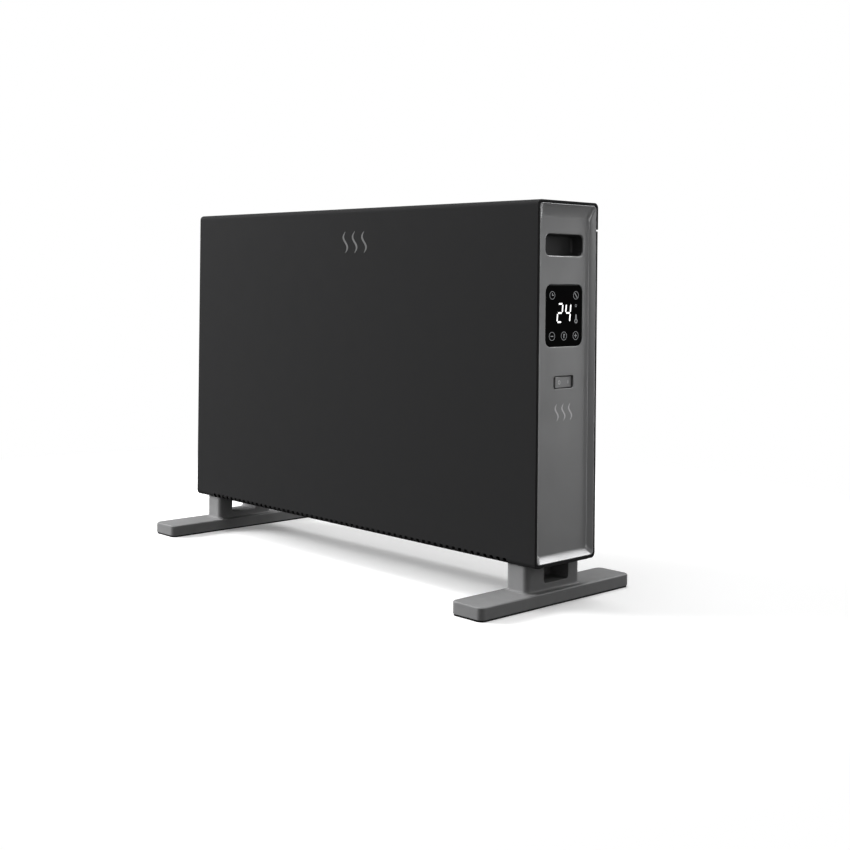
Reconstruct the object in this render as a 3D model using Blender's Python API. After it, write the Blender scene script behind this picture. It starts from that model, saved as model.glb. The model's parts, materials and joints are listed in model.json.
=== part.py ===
"""Free-standing electric panel convector heater, modelled as its separate pieces.

Metres. +X points to the end that carries the controls, the front faces -Y, +Z is up.
The origin is on the floor, under the middle of the heater.
"""
import math

import bmesh
import bpy
from mathutils import Vector

# ---------------------------------------------------------------- driving sizes
BODY_WIDTH = 0.650           # along X, over the folded sheet ends
BODY_DEPTH = 0.102           # along Y, front sheet to rear lip
BODY_HEIGHT = 0.400          # underside to top
GROUND_CLEARANCE = 0.046     # floor to underside
SHEET = 0.0010               # steel sheet
FOLD_RADIUS = 0.0060         # outer radius of the long folds
END_FLANGE = 0.0030          # sheet turned in round each open end
OPENING_RADIUS = 0.0048      # corners of the open ends
GAP = 0.0003                 # clearance between pieces that touch
FIT = 0.0003                 # clearance round a piece in its hole

LIP_HEIGHT = 0.030           # front sheet carried down the back
LIP_REVEAL = 0.0020          # open joint under that lip
REAR_STEP = 0.0006           # rear panel lies this much inside the lip
FRONT_FOLD = 0.014           # front sheet carried under the body
REAR_FOLD = 0.014            # rear panel carried under the body

SLOT_PITCH = 0.010           # intake slots in the lower front fold
SLOT_WIDTH = 0.005
SLOT_RISE = 0.0058           # slot height up the front face
SLOT_RUN = 0.0040            # slot length under the body
SLOT_MARGIN = 0.040          # first slot from the end of the body

OUTLET_END = 0.055           # end of the body to the air outlet in the top
OUTLET_DEPTH = 0.060
GRILLE_DEPTH = 0.008         # height of its bars
GRILLE_RIM = 0.004           # rim under the sheet and bars' frame
GRILLE_PITCH = 0.012
GRILLE_BAR = 0.0030

TRAY_PITCH = 0.020           # intake slots in the base tray
TRAY_SLOT = 0.008
TRAY_SLOT_LENGTH = 0.050

REAR_SLOT_PITCH = 0.020      # vent slots low in the rear panel
REAR_SLOT_WIDTH = 0.005
REAR_SLOT_HEIGHT = 0.030
REAR_SLOT_BASE = 0.045       # their lower ends above the underside
REAR_SLOT_END = 0.110        # end of the body to the first vent slot

CAP_RIM = 0.0015             # flat rim of the end cap
CAP_WALL = 0.0020
CAP_SKIRT = 0.020            # how far the cap reaches into the body
DISH_DEPTH = 0.0055
DISH_SIDE = 0.0050           # width of the hollow curve at the sides
DISH_TOP = 0.0140
DISH_BOTTOM = 0.0070
DISH_STEPS = 5

HANDLE_LENGTH = 0.064        # grip opening, along Y
HANDLE_HEIGHT = 0.0235
HANDLE_RADIUS = 0.0060
HANDLE_FROM_TOP = 0.0370     # body top to the opening's upper edge
HANDLE_POCKET = 0.0180       # pocket depth behind the cap
POCKET_WALL = 0.0015

LENS_WIDTH = 0.062           # display window
LENS_HEIGHT = 0.068
LENS_RADIUS = 0.008
LENS_FROM_TOP = 0.0928
LENS_THICKNESS = 0.0030
LENS_FLANGE = 0.0020         # lens edge behind the cap
LENS_SUNK = 0.0004           # lens face below the dish floor

ROCKER_LENGTH = 0.0334       # switch opening, along Y
ROCKER_HEIGHT = 0.0140
ROCKER_RADIUS = 0.0020
ROCKER_FROM_TOP = 0.1934
ROCKER_CLEARANCE = 0.0009
ROCKER_PROUD = 0.0012        # raised end of the rocker above the dish floor
ROCKER_THICKNESS = 0.0045    # pivot to switch face
ROCKER_SKIRT = 0.0032        # straight side below the switch face
ROCKER_KEEL = 0.0030         # depth below the pivot
ROCKER_SAG = 0.0004          # hollow of the switch face
ROCKER_TRAVEL = 12.0         # degrees, on to off
ROCKER_PIN = 0.0012
ROCKER_BOX_WALL = 0.0018
ROCKER_BOX_DEPTH = 0.018

FOOT_LENGTH = 0.250          # foot bar, along Y
FOOT_WIDTH = 0.0465          # along X
FOOT_INSET = 0.0077          # foot bar inside the end of the body
FOOT_BAR = 0.0155            # floor to the bar's top
FOOT_CORNER = 0.0074
FOOT_EDGE = 0.0015           # softened upper edge of the bar
SOLE_THICKNESS = 0.0016
SOLE_INSET = 0.0010
POST_LENGTH = 0.090          # foot post, along Y
POST_WIDTH = 0.033           # along X
POST_INSET = 0.0088          # post face inside the bar's outer side
POST_CORNER = 0.0060
POST_FILLET = 0.0030
WINDOW_LENGTH = 0.041        # opening through the post, along Y
WINDOW_HEIGHT = 0.0225       # from the underside of the body down
WINDOW_SHIFT = 0.0035        # opening off the post's centre, rearwards on the right foot
WINDOW_RADIUS = 0.0040
WINDOW_BACK = 0.0060         # wall left behind the opening on the right foot, none on the left

FOOT_SCREW_RADIUS = 0.0020
FOOT_SCREW_HEAD = 0.0040
FOOT_SCREW_HEAD_HEIGHT = 0.0025
FOOT_SCREW_EDGE = 0.0105     # screw centre to the post's end
FOOT_SCREW_GRIP = 0.0085     # plastic between the screw head and the body
BRACKET_THICKNESS = 0.0020
BRACKET_WIDTH = 0.020
REAR_SCREW_RADIUS = 0.0017
REAR_SCREW_HEAD = 0.0034
REAR_SCREW_LENGTH = 0.010

CONTROL_BAY = 0.085          # end of the body to the wall of the hot chamber
LEFT_BAY = 0.055             # the same at the plain end
PARTITION_MARGIN = 0.0035    # wall edge to the body's outer surface
SHIELD_OFFSET = 0.012        # heat shield ahead of the partition
SHIELD_HEIGHT = 0.095
ELEMENT_HEIGHT = 0.050       # centre of the elements above the underside
ELEMENT_SPACING = 0.038      # between the two elements' centres
ELEMENT_SIZE = 0.030         # fin tip to fin tip
ELEMENT_FIN = 0.0024
ELEMENT_CORE = 0.0065        # radius of the tube in the middle
ELEMENT_MARGIN = 0.012       # element end to the wall or shield
ROD_RADIUS = 0.0038
ROD_OVERHANG = 0.016         # rod end past its wall
INSULATOR_RADIUS = 0.0075
INSULATOR_FLANGE = 0.0105
INSULATOR_LENGTH = 0.010
PLATE = 0.0010               # inner walls
BOARD = 0.0016               # circuit boards

CABLE_RADIUS = 0.0038        # mains lead that the gland is bored for
GLAND_SETBACK = 0.042        # gland's centre past the partition, along X
GLAND_HEIGHT = 0.044         # gland's centre above the underside
GLAND_BARREL = 0.0065
GLAND_COLLAR = 0.0095
GLAND_REACH = 0.014          # barrel inside the body
GLAND_PROUD = 0.0040         # collar outside the rear panel

BOARD_SETBACK = 0.022        # control board past the partition
BOARD_BASE = 0.068           # its lower edge above the underside
BOARD_HEIGHT = 0.112
BOARD_HALF = 0.040           # half its width
RAIL_HALF = 0.003            # half the thickness of its rails
RELAY_SIZE = (0.0156, 0.020, 0.016)
TRANSFORMER_SIZE = (0.018, 0.030, 0.026)
CAPACITOR_RADIUS = 0.0060
CAPACITOR_LENGTH = 0.0195
HEATSINK_SIZE = (0.014, 0.016, 0.032)
HEATSINK_GROOVE = 0.004
HEATSINK_BASE = 0.003        # solid part under the fins
TERMINAL_SETBACK = 0.028     # terminal block past the partition
TERMINAL_SIZE = (0.016, 0.030, 0.014)
TERMINAL_PITCH = 0.010
TERMINAL_BORE = 0.0022
CUTOUT_RADIUS = 0.0068
CUTOUT_FLANGE = 0.0085
CUTOUT_LENGTH = 0.0095
GUARD_RISE = 0.040           # cut-out and fuse above the elements
FUSE_RADIUS = 0.0030
FUSE_LENGTH = 0.016
FUSE_TAIL = 0.006
PROBE_SETBACK = 0.054        # temperature probe past the partition
PROBE_Y = -0.024
PROBE_LENGTH = 0.0225
WIRE_RADIUS = 0.0013

DIGIT_THICKNESS = 0.0030     # light block behind the display window
DIGIT_WIDTH = 0.034
DIGIT_HEIGHT = 0.026

TILT_SETBACK = 0.012         # tip-over switch past the partition
TILT_DEPTH = 0.018
TILT_Y = -0.026
TILT_HALF = 0.0160
TILT_BASE = 0.0048           # its underside above the body's
TILT_HEIGHT = 0.034
TILT_WALL = 0.0015
TILT_ARM = 0.0160            # pin to the middle of the weight
TILT_WEIGHT = 0.0042
TILT_WEIGHT_LENGTH = 0.0090
TILT_PIN = 0.0012
TILT_PIN_DROP = 0.0060       # pin below the case's ceiling

# ---------------------------------------------------------------- derived places
BOTTOM = GROUND_CLEARANCE
TOP = BOTTOM + BODY_HEIGHT
HALF_WIDTH = BODY_WIDTH / 2
HALF_DEPTH = BODY_DEPTH / 2
CAP_FLOOR = HALF_WIDTH - DISH_DEPTH
CAP_BACK = CAP_FLOOR - CAP_WALL
LIP_BOTTOM = TOP - LIP_HEIGHT
INNER_FLOOR = BOTTOM + SHEET
OUTLET_LENGTH = BODY_WIDTH - 2 * OUTLET_END
PARTITION_X = HALF_WIDTH - CONTROL_BAY
PARTITION_LEFT_X = LEFT_BAY - HALF_WIDTH
BOARD_X = PARTITION_X + BOARD_SETBACK
BOARD_LOW = BOTTOM + BOARD_BASE
BOARD_HIGH = BOARD_LOW + BOARD_HEIGHT
BOARD_FACE = BOARD_X + BOARD + GAP
GLAND_X = PARTITION_X + GLAND_SETBACK
GLAND_Z = BOTTOM + GLAND_HEIGHT
REAR_FACE = HALF_DEPTH - REAR_STEP
TERMINAL_LOW = INNER_FLOOR + BRACKET_THICKNESS + 0.003
TILT_X = PARTITION_X + TILT_SETBACK
TILT_LOW = BOTTOM + TILT_BASE
ELEMENT_Z = BOTTOM + ELEMENT_HEIGHT
HANDLE_Z = TOP - HANDLE_FROM_TOP - HANDLE_HEIGHT / 2
LENS_Z = TOP - LENS_FROM_TOP - LENS_HEIGHT / 2
ROCKER_Z = TOP - ROCKER_FROM_TOP - ROCKER_HEIGHT / 2
FOOT_OUTER = HALF_WIDTH - FOOT_INSET
FOOT_MIDDLE = FOOT_OUTER - FOOT_WIDTH / 2
POST_MIDDLE = FOOT_OUTER - POST_INSET - POST_WIDTH / 2
POST_TOP = BOTTOM - GAP
BAR_BOTTOM = SOLE_THICKNESS + GAP
FOOT_SCREW_Y = POST_LENGTH / 2 - FOOT_SCREW_EDGE
FOOT_SCREW_SEAT = BOTTOM - FOOT_SCREW_GRIP
FLANGE_CORNER = END_FLANGE + OPENING_RADIUS / 2    # clears the turned-in sheet at a corner
SIDES = (("right", 1), ("left", -1))
REACH = 0.010                # how far a cutter runs past what it cuts

# ---------------------------------------------------------------- materials
MATERIALS = {
    "charcoal_paint": ((0.030, 0.030, 0.031), 0.55, 0.0),
    "graphite_plastic": ((0.150, 0.150, 0.152), 0.50, 0.0),
    "foot_plastic": ((0.130, 0.130, 0.132), 0.55, 0.0),
    "black_plastic": ((0.018, 0.018, 0.018), 0.50, 0.0),
    "black_glass": ((0.004, 0.004, 0.004), 0.08, 0.0),
    "rubber": ((0.012, 0.012, 0.012), 0.85, 0.0),
    "zinc_steel": ((0.560, 0.560, 0.550), 0.38, 1.0),
    "aluminium": ((0.720, 0.720, 0.730), 0.35, 1.0),
    "ceramic": ((0.800, 0.780, 0.730), 0.55, 0.0),
    "circuit_board": ((0.020, 0.160, 0.060), 0.45, 0.0),
    "component_blue": ((0.040, 0.110, 0.420), 0.45, 0.0),
    "brass": ((0.720, 0.520, 0.200), 0.35, 1.0),
    "wire_brown": ((0.180, 0.070, 0.025), 0.55, 0.0),
}


def make_material(name):
    """One Principled material from its colour, roughness and metallic value."""
    colour, roughness, metallic = MATERIALS[name]
    material = bpy.data.materials.new(name)
    material.use_nodes = True
    shader = material.node_tree.nodes["Principled BSDF"]
    shader.inputs["Base Color"].default_value = (*colour, 1.0)
    shader.inputs["Roughness"].default_value = roughness
    shader.inputs["Metallic"].default_value = metallic
    return material


# ---------------------------------------------------------------- shape helpers
def new_object(name, bm, material=None, pivot=(0, 0, 0)):
    """Turn a bmesh in world coordinates into an object whose origin is at pivot."""
    bmesh.ops.translate(bm, verts=bm.verts, vec=-Vector(pivot))
    bmesh.ops.recalc_face_normals(bm, faces=bm.faces)
    mesh = bpy.data.meshes.new(name)
    bm.to_mesh(mesh)
    bm.free()
    thing = bpy.data.objects.new(name, mesh)
    thing.location = pivot
    bpy.context.scene.collection.objects.link(thing)
    if material:
        if material not in bpy.data.materials:
            make_material(material)
        mesh.materials.append(bpy.data.materials[material])
        mesh.shade_smooth()
        mesh.set_sharp_from_angle(angle=math.radians(35))
    return thing


def tool_object(name, bm):
    """A cutter or a joining solid: it shapes its neighbour and isn't a piece."""
    thing = new_object(name, bm)
    thing.hide_render = True
    thing.display_type = "WIRE"
    return thing


def combine(base, tool, operation="DIFFERENCE"):
    """Cut a tool out of an object, or join it on, with an exact Boolean."""
    modifier = base.modifiers.new(tool.name, "BOOLEAN")
    modifier.operation = operation
    modifier.solver = "EXACT"
    modifier.object = tool


def box(low, high, axis=None, radius=0.0, segments=4, bm=None):
    """A box between two corners, with the four edges along one axis rounded."""
    bm = bm or bmesh.new()
    low, high = Vector(low), Vector(high)
    verts = bmesh.ops.create_cube(bm, size=1.0)["verts"]
    bmesh.ops.scale(bm, verts=verts, vec=high - low)
    bmesh.ops.translate(bm, verts=verts, vec=(low + high) / 2)
    if radius:
        along = "xyz".index(axis)
        edges = {edge for vert in verts for edge in vert.link_edges
                 if abs(edge.verts[0].co[along] - edge.verts[1].co[along]) > 1e-6}
        bmesh.ops.bevel(bm, geom=list(edges), offset=radius, offset_type="OFFSET", segments=segments,
                        profile=0.5, affect="EDGES", clamp_overlap=True, material=-1)
    return bm


def box_about(centre, size, axis=None, radius=0.0, segments=4, bm=None):
    """The same box, from its centre and its sizes."""
    centre, half = Vector(centre), Vector(size) / 2
    return box(centre - half, centre + half, axis, radius, segments, bm)


TURN = {"x": Vector((1, 0, 0)), "y": Vector((0, 1, 0)), "z": Vector((0, 0, 1))}


def cylinder(start, length, radius, axis="z", segments=20, bm=None, radius_end=None):
    """A round bar that starts at a point and runs along an axis."""
    bm = bm or bmesh.new()
    end = radius if radius_end is None else radius_end
    verts = bmesh.ops.create_cone(bm, cap_ends=True, segments=segments, radius1=radius,
                                  radius2=end, depth=length)["verts"]
    spin = TURN["z"].rotation_difference(TURN[axis]).to_matrix()
    bmesh.ops.rotate(bm, verts=verts, matrix=spin)
    bmesh.ops.translate(bm, verts=verts, vec=Vector(start) + TURN[axis] * length / 2)
    return bm


def turned(rings, axis="z", at=(0, 0, 0), segments=20):
    """A turned solid from (distance along the axis, radius) pairs, closed at both ends."""
    bm = bmesh.new()
    direction = TURN[axis]
    side = TURN["y"] if axis == "x" else TURN["x"]
    profile = [bm.verts.new(Vector(at) + direction * along + side * radius) for along, radius in rings]
    edges = [bm.edges.new(pair) for pair in zip(profile, profile[1:])]
    bmesh.ops.spin(bm, geom=profile + edges, cent=Vector(at), axis=direction, steps=segments,
                   angle=math.tau, use_merge=True)
    bmesh.ops.remove_doubles(bm, verts=bm.verts, dist=1e-6)
    bmesh.ops.holes_fill(bm, edges=[edge for edge in bm.edges if edge.is_boundary], sides=0)
    return bm


def bush(rings, bore, axis="z", at=(0, 0, 0), segments=20):
    """A turned ring: the outside as (along, radius) pairs, and a straight bore."""
    bm = bmesh.new()
    direction = TURN[axis]
    side = TURN["y"] if axis == "x" else TURN["x"]
    outline = list(rings) + [(rings[-1][0], bore), (rings[0][0], bore)]
    profile = [bm.verts.new(Vector(at) + direction * along + side * radius) for along, radius in outline]
    edges = [bm.edges.new((profile[i - 1], profile[i])) for i in range(len(profile))]
    bmesh.ops.spin(bm, geom=profile + edges, cent=Vector(at), axis=direction, steps=segments,
                   angle=math.tau, use_merge=True)
    bmesh.ops.remove_doubles(bm, verts=bm.verts, dist=1e-6)
    return bm


def rounded_loop(axis, level, low, high, radius, segments=4):
    """Points of a rounded rectangle in the plane across an axis, at a level on it."""
    points = []
    corners = ((high[0], high[1], 0), (low[0], high[1], 1), (low[0], low[1], 2), (high[0], low[1], 3))
    for u, v, quarter in corners:
        centre_u = u - math.copysign(radius, u - (low[0] + high[0]) / 2)
        centre_v = v - math.copysign(radius, v - (low[1] + high[1]) / 2)
        for step in range(segments + 1):
            angle = math.pi / 2 * (quarter + step / segments)
            pair = (centre_u + radius * math.cos(angle), centre_v + radius * math.sin(angle))
            points.append(Vector((level, *pair)) if axis == "x" else Vector((*pair, level)))
    return points


def loft(loops):
    """A closed skin through loops of the same number of points, with flat ends."""
    bm = bmesh.new()
    rings = [[bm.verts.new(point) for point in points] for points in loops]
    for lower, upper in zip(rings, rings[1:]):
        for i in range(len(lower)):
            bm.faces.new((lower[i - 1], lower[i], upper[i], upper[i - 1]))
    bm.faces.new(rings[0])
    bm.faces.new(rings[-1])
    return bm


def mirrored(bm):
    """The same shape on the other end of the heater."""
    bmesh.ops.scale(bm, verts=bm.verts, vec=(-1, 1, 1))
    return bm


def sided(bm, side):
    return bm if side > 0 else mirrored(bm)


def section(inset, half_width, radius):
    """A bar along X with the body's Y-Z section, smaller by inset all round."""
    return box((-half_width, inset - HALF_DEPTH, BOTTOM + inset),
               (half_width, HALF_DEPTH - inset, TOP - inset), "x", radius)


def row_of_boxes(name, first_low, first_high, pitch, count):
    """A row of equal box cutters along X."""
    bm = bmesh.new()
    for index in range(count):
        shift = Vector((index * pitch, 0, 0))
        box(Vector(first_low) + shift, Vector(first_high) + shift, bm=bm)
    return tool_object(name, bm)


# ---------------------------------------------------------------- sheet metal casing
def make_casing():
    hollow = tool_object("cutter_hollow", section(SHEET, HALF_WIDTH - SHEET, FOLD_RADIUS - SHEET))
    open_ends = tool_object("cutter_open_ends", section(END_FLANGE, HALF_WIDTH + REACH, OPENING_RADIUS))
    wide = HALF_WIDTH + REACH

    front = new_object("front_shell", section(0, HALF_WIDTH, FOLD_RADIUS), "charcoal_paint")
    rear_cut = tool_object("cutter_back", box((-wide, HALF_DEPTH - FLANGE_CORNER, BOTTOM - REACH),
                                              (wide, HALF_DEPTH + REACH, LIP_BOTTOM)))
    under_cut = tool_object("cutter_underside", box((-wide, FRONT_FOLD - HALF_DEPTH, BOTTOM - REACH),
                                                    (wide, HALF_DEPTH, BOTTOM + FLANGE_CORNER)))
    outlet = tool_object("cutter_outlet", box_about((0, 0, TOP), (OUTLET_LENGTH, OUTLET_DEPTH, 2 * REACH)))
    slot_count = int((BODY_WIDTH - 2 * SLOT_MARGIN) / SLOT_PITCH) + 1
    slot_start = -(slot_count - 1) * SLOT_PITCH / 2 - SLOT_WIDTH / 2
    slots = row_of_boxes("cutter_fold_slots",
                         (slot_start, -HALF_DEPTH - REACH, BOTTOM - REACH),
                         (slot_start + SLOT_WIDTH, SLOT_RUN - HALF_DEPTH, BOTTOM + SLOT_RISE),
                         SLOT_PITCH, slot_count)
    for cutter in (slots, hollow, open_ends, rear_cut, under_cut, outlet):
        combine(front, cutter)

    make_rear_panel()
    make_base_tray()
    make_grille()


def make_rear_panel():
    face = REAR_FACE
    bm = box((-HALF_WIDTH, -HALF_DEPTH, BOTTOM), (HALF_WIDTH, face, TOP), "x", FOLD_RADIUS)
    rear = new_object("rear_panel", bm, "charcoal_paint")
    inner = tool_object("cutter_rear_hollow",
                        box((SHEET - HALF_WIDTH, -HALF_DEPTH, BOTTOM + SHEET),
                            (HALF_WIDTH - SHEET, face - SHEET, TOP), "x", FOLD_RADIUS - SHEET))
    ends = tool_object("cutter_rear_ends",
                       box((-HALF_WIDTH - REACH, -HALF_DEPTH, BOTTOM + END_FLANGE),
                           (HALF_WIDTH + REACH, HALF_DEPTH - END_FLANGE, TOP), "x", OPENING_RADIUS))
    front_cut = tool_object("cutter_rear_front",
                            box((-HALF_WIDTH - REACH, -HALF_DEPTH - REACH, BOTTOM - REACH),
                                (HALF_WIDTH + REACH, HALF_DEPTH - REAR_FOLD, TOP + REACH)))
    top_cut = tool_object("cutter_rear_top",
                          box((-HALF_WIDTH - REACH, -HALF_DEPTH, LIP_BOTTOM - LIP_REVEAL),
                              (HALF_WIDTH + REACH, HALF_DEPTH + REACH, TOP + REACH)))
    count = int((BODY_WIDTH - 2 * REAR_SLOT_END) / REAR_SLOT_PITCH) + 1
    start = -(count - 1) * REAR_SLOT_PITCH / 2 - REAR_SLOT_WIDTH / 2
    vents = row_of_boxes("cutter_rear_vents",
                         (start, face - 2 * SHEET, BOTTOM + REAR_SLOT_BASE),
                         (start + REAR_SLOT_WIDTH, face + REACH, BOTTOM + REAR_SLOT_BASE + REAR_SLOT_HEIGHT),
                         REAR_SLOT_PITCH, count)
    for cutter in (inner, ends, front_cut, top_cut, vents):
        combine(rear, cutter)
    gland = tool_object("cutter_gland", cylinder((GLAND_X, face - REACH, GLAND_Z), 2 * REACH,
                                                 GLAND_BARREL + FIT, "y"))
    combine(rear, gland)
    for index, (x, z) in enumerate(rear_screw_places(), 1):
        hole = tool_object(f"cutter_rear_screw_{index}",
                           cylinder((x, face - REACH, z), 2 * REACH, REAR_SCREW_RADIUS + FIT, "y", 12))
        combine(rear, hole)
        screw = turned([(0, REAR_SCREW_RADIUS), (REAR_SCREW_LENGTH, REAR_SCREW_RADIUS),
                        (REAR_SCREW_LENGTH, REAR_SCREW_HEAD), (REAR_SCREW_LENGTH + 0.0010, REAR_SCREW_HEAD),
                        (REAR_SCREW_LENGTH + 0.0018, REAR_SCREW_HEAD * 0.6)], "y",
                       (x, face + GAP - REAR_SCREW_LENGTH, z), 12)
        new_object(f"rear_screw_{index}", screw, "zinc_steel")


def rear_screw_places():
    across = HALF_WIDTH - 0.030
    return [(x, z) for z in (BOTTOM + 0.080, LIP_BOTTOM - 0.030) for x in (-across, across)]


def make_base_tray():
    half = HALF_DEPTH - FRONT_FOLD - FIT
    bm = box((-HALF_WIDTH, -half, BOTTOM), (HALF_WIDTH, half, BOTTOM + END_FLANGE))
    tray = new_object("base_tray", bm, "charcoal_paint")
    combine(tray, tool_object("cutter_tray_hollow",
                              box((SHEET - HALF_WIDTH, -half - REACH, INNER_FLOOR),
                                  (HALF_WIDTH - SHEET, half + REACH, BOTTOM + REACH))))
    hot_length = PARTITION_X - PARTITION_LEFT_X - 2 * TRAY_PITCH
    count = int(hot_length / TRAY_PITCH)
    start = (PARTITION_X + PARTITION_LEFT_X) / 2 - (count - 1) * TRAY_PITCH / 2 - TRAY_SLOT / 2
    combine(tray, row_of_boxes("cutter_tray_slots",
                               (start, -TRAY_SLOT_LENGTH / 2, BOTTOM - REACH),
                               (start + TRAY_SLOT, TRAY_SLOT_LENGTH / 2, BOTTOM + REACH),
                               TRAY_PITCH, count))
    for side_name, side in SIDES:
        for place, y in (("front", -FOOT_SCREW_Y), ("rear", FOOT_SCREW_Y)):
            hole = cylinder((side * POST_MIDDLE, y, BOTTOM - REACH), 2 * REACH,
                            FOOT_SCREW_RADIUS + FIT, "z", 12)
            combine(tray, tool_object(f"cutter_tray_screw_{side_name}_{place}", hole))


def make_grille():
    """Outlet grille: a frame that drops into the top opening, with bars across it."""
    top = TOP - SHEET - GAP
    frame_length = OUTLET_LENGTH - 2 * FIT
    frame_depth = OUTLET_DEPTH - 2 * FIT
    raised = TOP - GAP
    bm = box((-frame_length / 2, -frame_depth / 2, raised - GRILLE_DEPTH),
             (frame_length / 2, frame_depth / 2, raised))
    grille = new_object("outlet_grille", bm, "black_plastic")
    rim = box((-frame_length / 2 - GRILLE_RIM, -frame_depth / 2 - GRILLE_RIM, raised - GRILLE_DEPTH),
              (frame_length / 2 + GRILLE_RIM, frame_depth / 2 + GRILLE_RIM, top))
    combine(grille, tool_object("joiner_grille_rim", rim), "UNION")
    opening = OUTLET_LENGTH - 2 * GRILLE_RIM
    count = int(opening / GRILLE_PITCH)
    slot = GRILLE_PITCH - GRILLE_BAR
    start = -(count - 1) * GRILLE_PITCH / 2 - slot / 2
    combine(grille, row_of_boxes("cutter_grille_slots",
                                 (start, GRILLE_RIM - frame_depth / 2, TOP - 2 * REACH),
                                 (start + slot, frame_depth / 2 - GRILLE_RIM, TOP + REACH),
                                 GRILLE_PITCH, count))


# ---------------------------------------------------------------- end caps
def cap_loop(level, side_inset, bottom_inset, top_inset, radius):
    base = END_FLANGE + FIT
    return rounded_loop("x", level,
                        (side_inset + base - HALF_DEPTH, BOTTOM + base + bottom_inset),
                        (HALF_DEPTH - base - side_inset, TOP - base - top_inset), radius)


def cap_body():
    """A dished cap: rim, hollow curve down to a flat floor, and a skirt into the body."""
    radius = OPENING_RADIUS - FIT
    dish = []
    for step in range(DISH_STEPS + 1):
        angle = math.pi / 2 * step / DISH_STEPS
        inward = 1 - math.cos(angle)
        dish.append(cap_loop(HALF_WIDTH - DISH_DEPTH * math.sin(angle), CAP_RIM + DISH_SIDE * inward,
                             CAP_RIM + DISH_BOTTOM * inward, CAP_RIM + DISH_TOP * inward, radius))
    inner = radius - CAP_WALL / 2
    outside = [cap_loop(HALF_WIDTH, 0, 0, 0, radius), cap_loop(HALF_WIDTH - CAP_SKIRT, 0, 0, 0, radius)]
    inside = [cap_loop(HALF_WIDTH - CAP_SKIRT, CAP_WALL, CAP_WALL, CAP_WALL, inner),
              cap_loop(CAP_BACK, CAP_WALL, CAP_WALL, CAP_WALL, inner)]
    return loft(list(reversed(dish)) + outside + inside)


def through_cap(width, height, z, radius):
    """A cutter straight through the cap's floor."""
    return box_about((CAP_FLOOR, 0, z), (2 * REACH, width, height), "x", radius)


def make_caps():
    for name, side in SIDES:
        cap = new_object(f"{name}_end_cap", sided(cap_body(), side), "graphite_plastic")
        grip = through_cap(HANDLE_LENGTH, HANDLE_HEIGHT, HANDLE_Z, HANDLE_RADIUS)
        combine(cap, tool_object(f"cutter_grip_{name}", sided(grip, side)))
        if side > 0:
            lens_hole = through_cap(LENS_WIDTH + 2 * FIT, LENS_HEIGHT + 2 * FIT, LENS_Z, LENS_RADIUS + FIT)
            combine(cap, tool_object("cutter_lens", lens_hole))
            switch_hole = through_cap(ROCKER_LENGTH, ROCKER_HEIGHT, ROCKER_Z, ROCKER_RADIUS)
            combine(cap, tool_object("cutter_switch", switch_hole))
        make_pocket(name, side)


def make_pocket(name, side):
    """The finger pocket behind a grip opening: a cup, open outwards."""
    mouth = CAP_BACK - GAP
    half = (HANDLE_LENGTH / 2 + FIT, HANDLE_HEIGHT / 2 + FIT)

    def loop(level, grow):
        return rounded_loop("x", level, (-half[0] - grow, HANDLE_Z - half[1] - grow),
                            (half[0] + grow, HANDLE_Z + half[1] + grow), HANDLE_RADIUS + grow)

    floor = CAP_FLOOR - HANDLE_POCKET
    cup = loft([loop(floor, 0), loop(mouth, 0), loop(mouth, POCKET_WALL),
                loop(floor - POCKET_WALL, POCKET_WALL)])
    new_object(f"{name}_handle_pocket", sided(cup, side), "black_plastic")


# ---------------------------------------------------------------- display
def make_display():
    face = CAP_FLOOR - LENS_SUNK
    step = CAP_BACK - GAP
    back = step - LENS_FLANGE / 2

    def loop(level, grow):
        return rounded_loop("x", level, (-LENS_WIDTH / 2 - grow, LENS_Z - LENS_HEIGHT / 2 - grow),
                            (LENS_WIDTH / 2 + grow, LENS_Z + LENS_HEIGHT / 2 + grow), LENS_RADIUS + grow)

    lens = loft([loop(face, 0), loop(step, 0), loop(step, LENS_FLANGE), loop(back, LENS_FLANGE)])
    new_object("display_lens", lens, "black_glass")

    module_front = back - GAP
    module = box_about((module_front - DIGIT_THICKNESS / 2, 0, LENS_Z + 0.004),
                       (DIGIT_THICKNESS, DIGIT_WIDTH, DIGIT_HEIGHT))
    new_object("digit_module", module, "black_plastic")
    board_front = module_front - DIGIT_THICKNESS - GAP
    board = box((board_front - BOARD, -LENS_WIDTH / 2, LENS_Z - LENS_HEIGHT / 2),
                (board_front, LENS_WIDTH / 2, LENS_Z + LENS_HEIGHT / 2))
    new_object("display_board", board, "circuit_board")
    return board_front - BOARD


# ---------------------------------------------------------------- power switch
def rocker_pivot():
    """Where the rocker turns, so that its raised end stands a little above the dish floor at rest."""
    lean = math.radians(ROCKER_TRAVEL / 2)
    half = ROCKER_LENGTH / 2 - ROCKER_CLEARANCE
    return CAP_FLOOR + ROCKER_PROUD - ROCKER_THICKNESS * math.cos(lean) - half * math.sin(lean)


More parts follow.
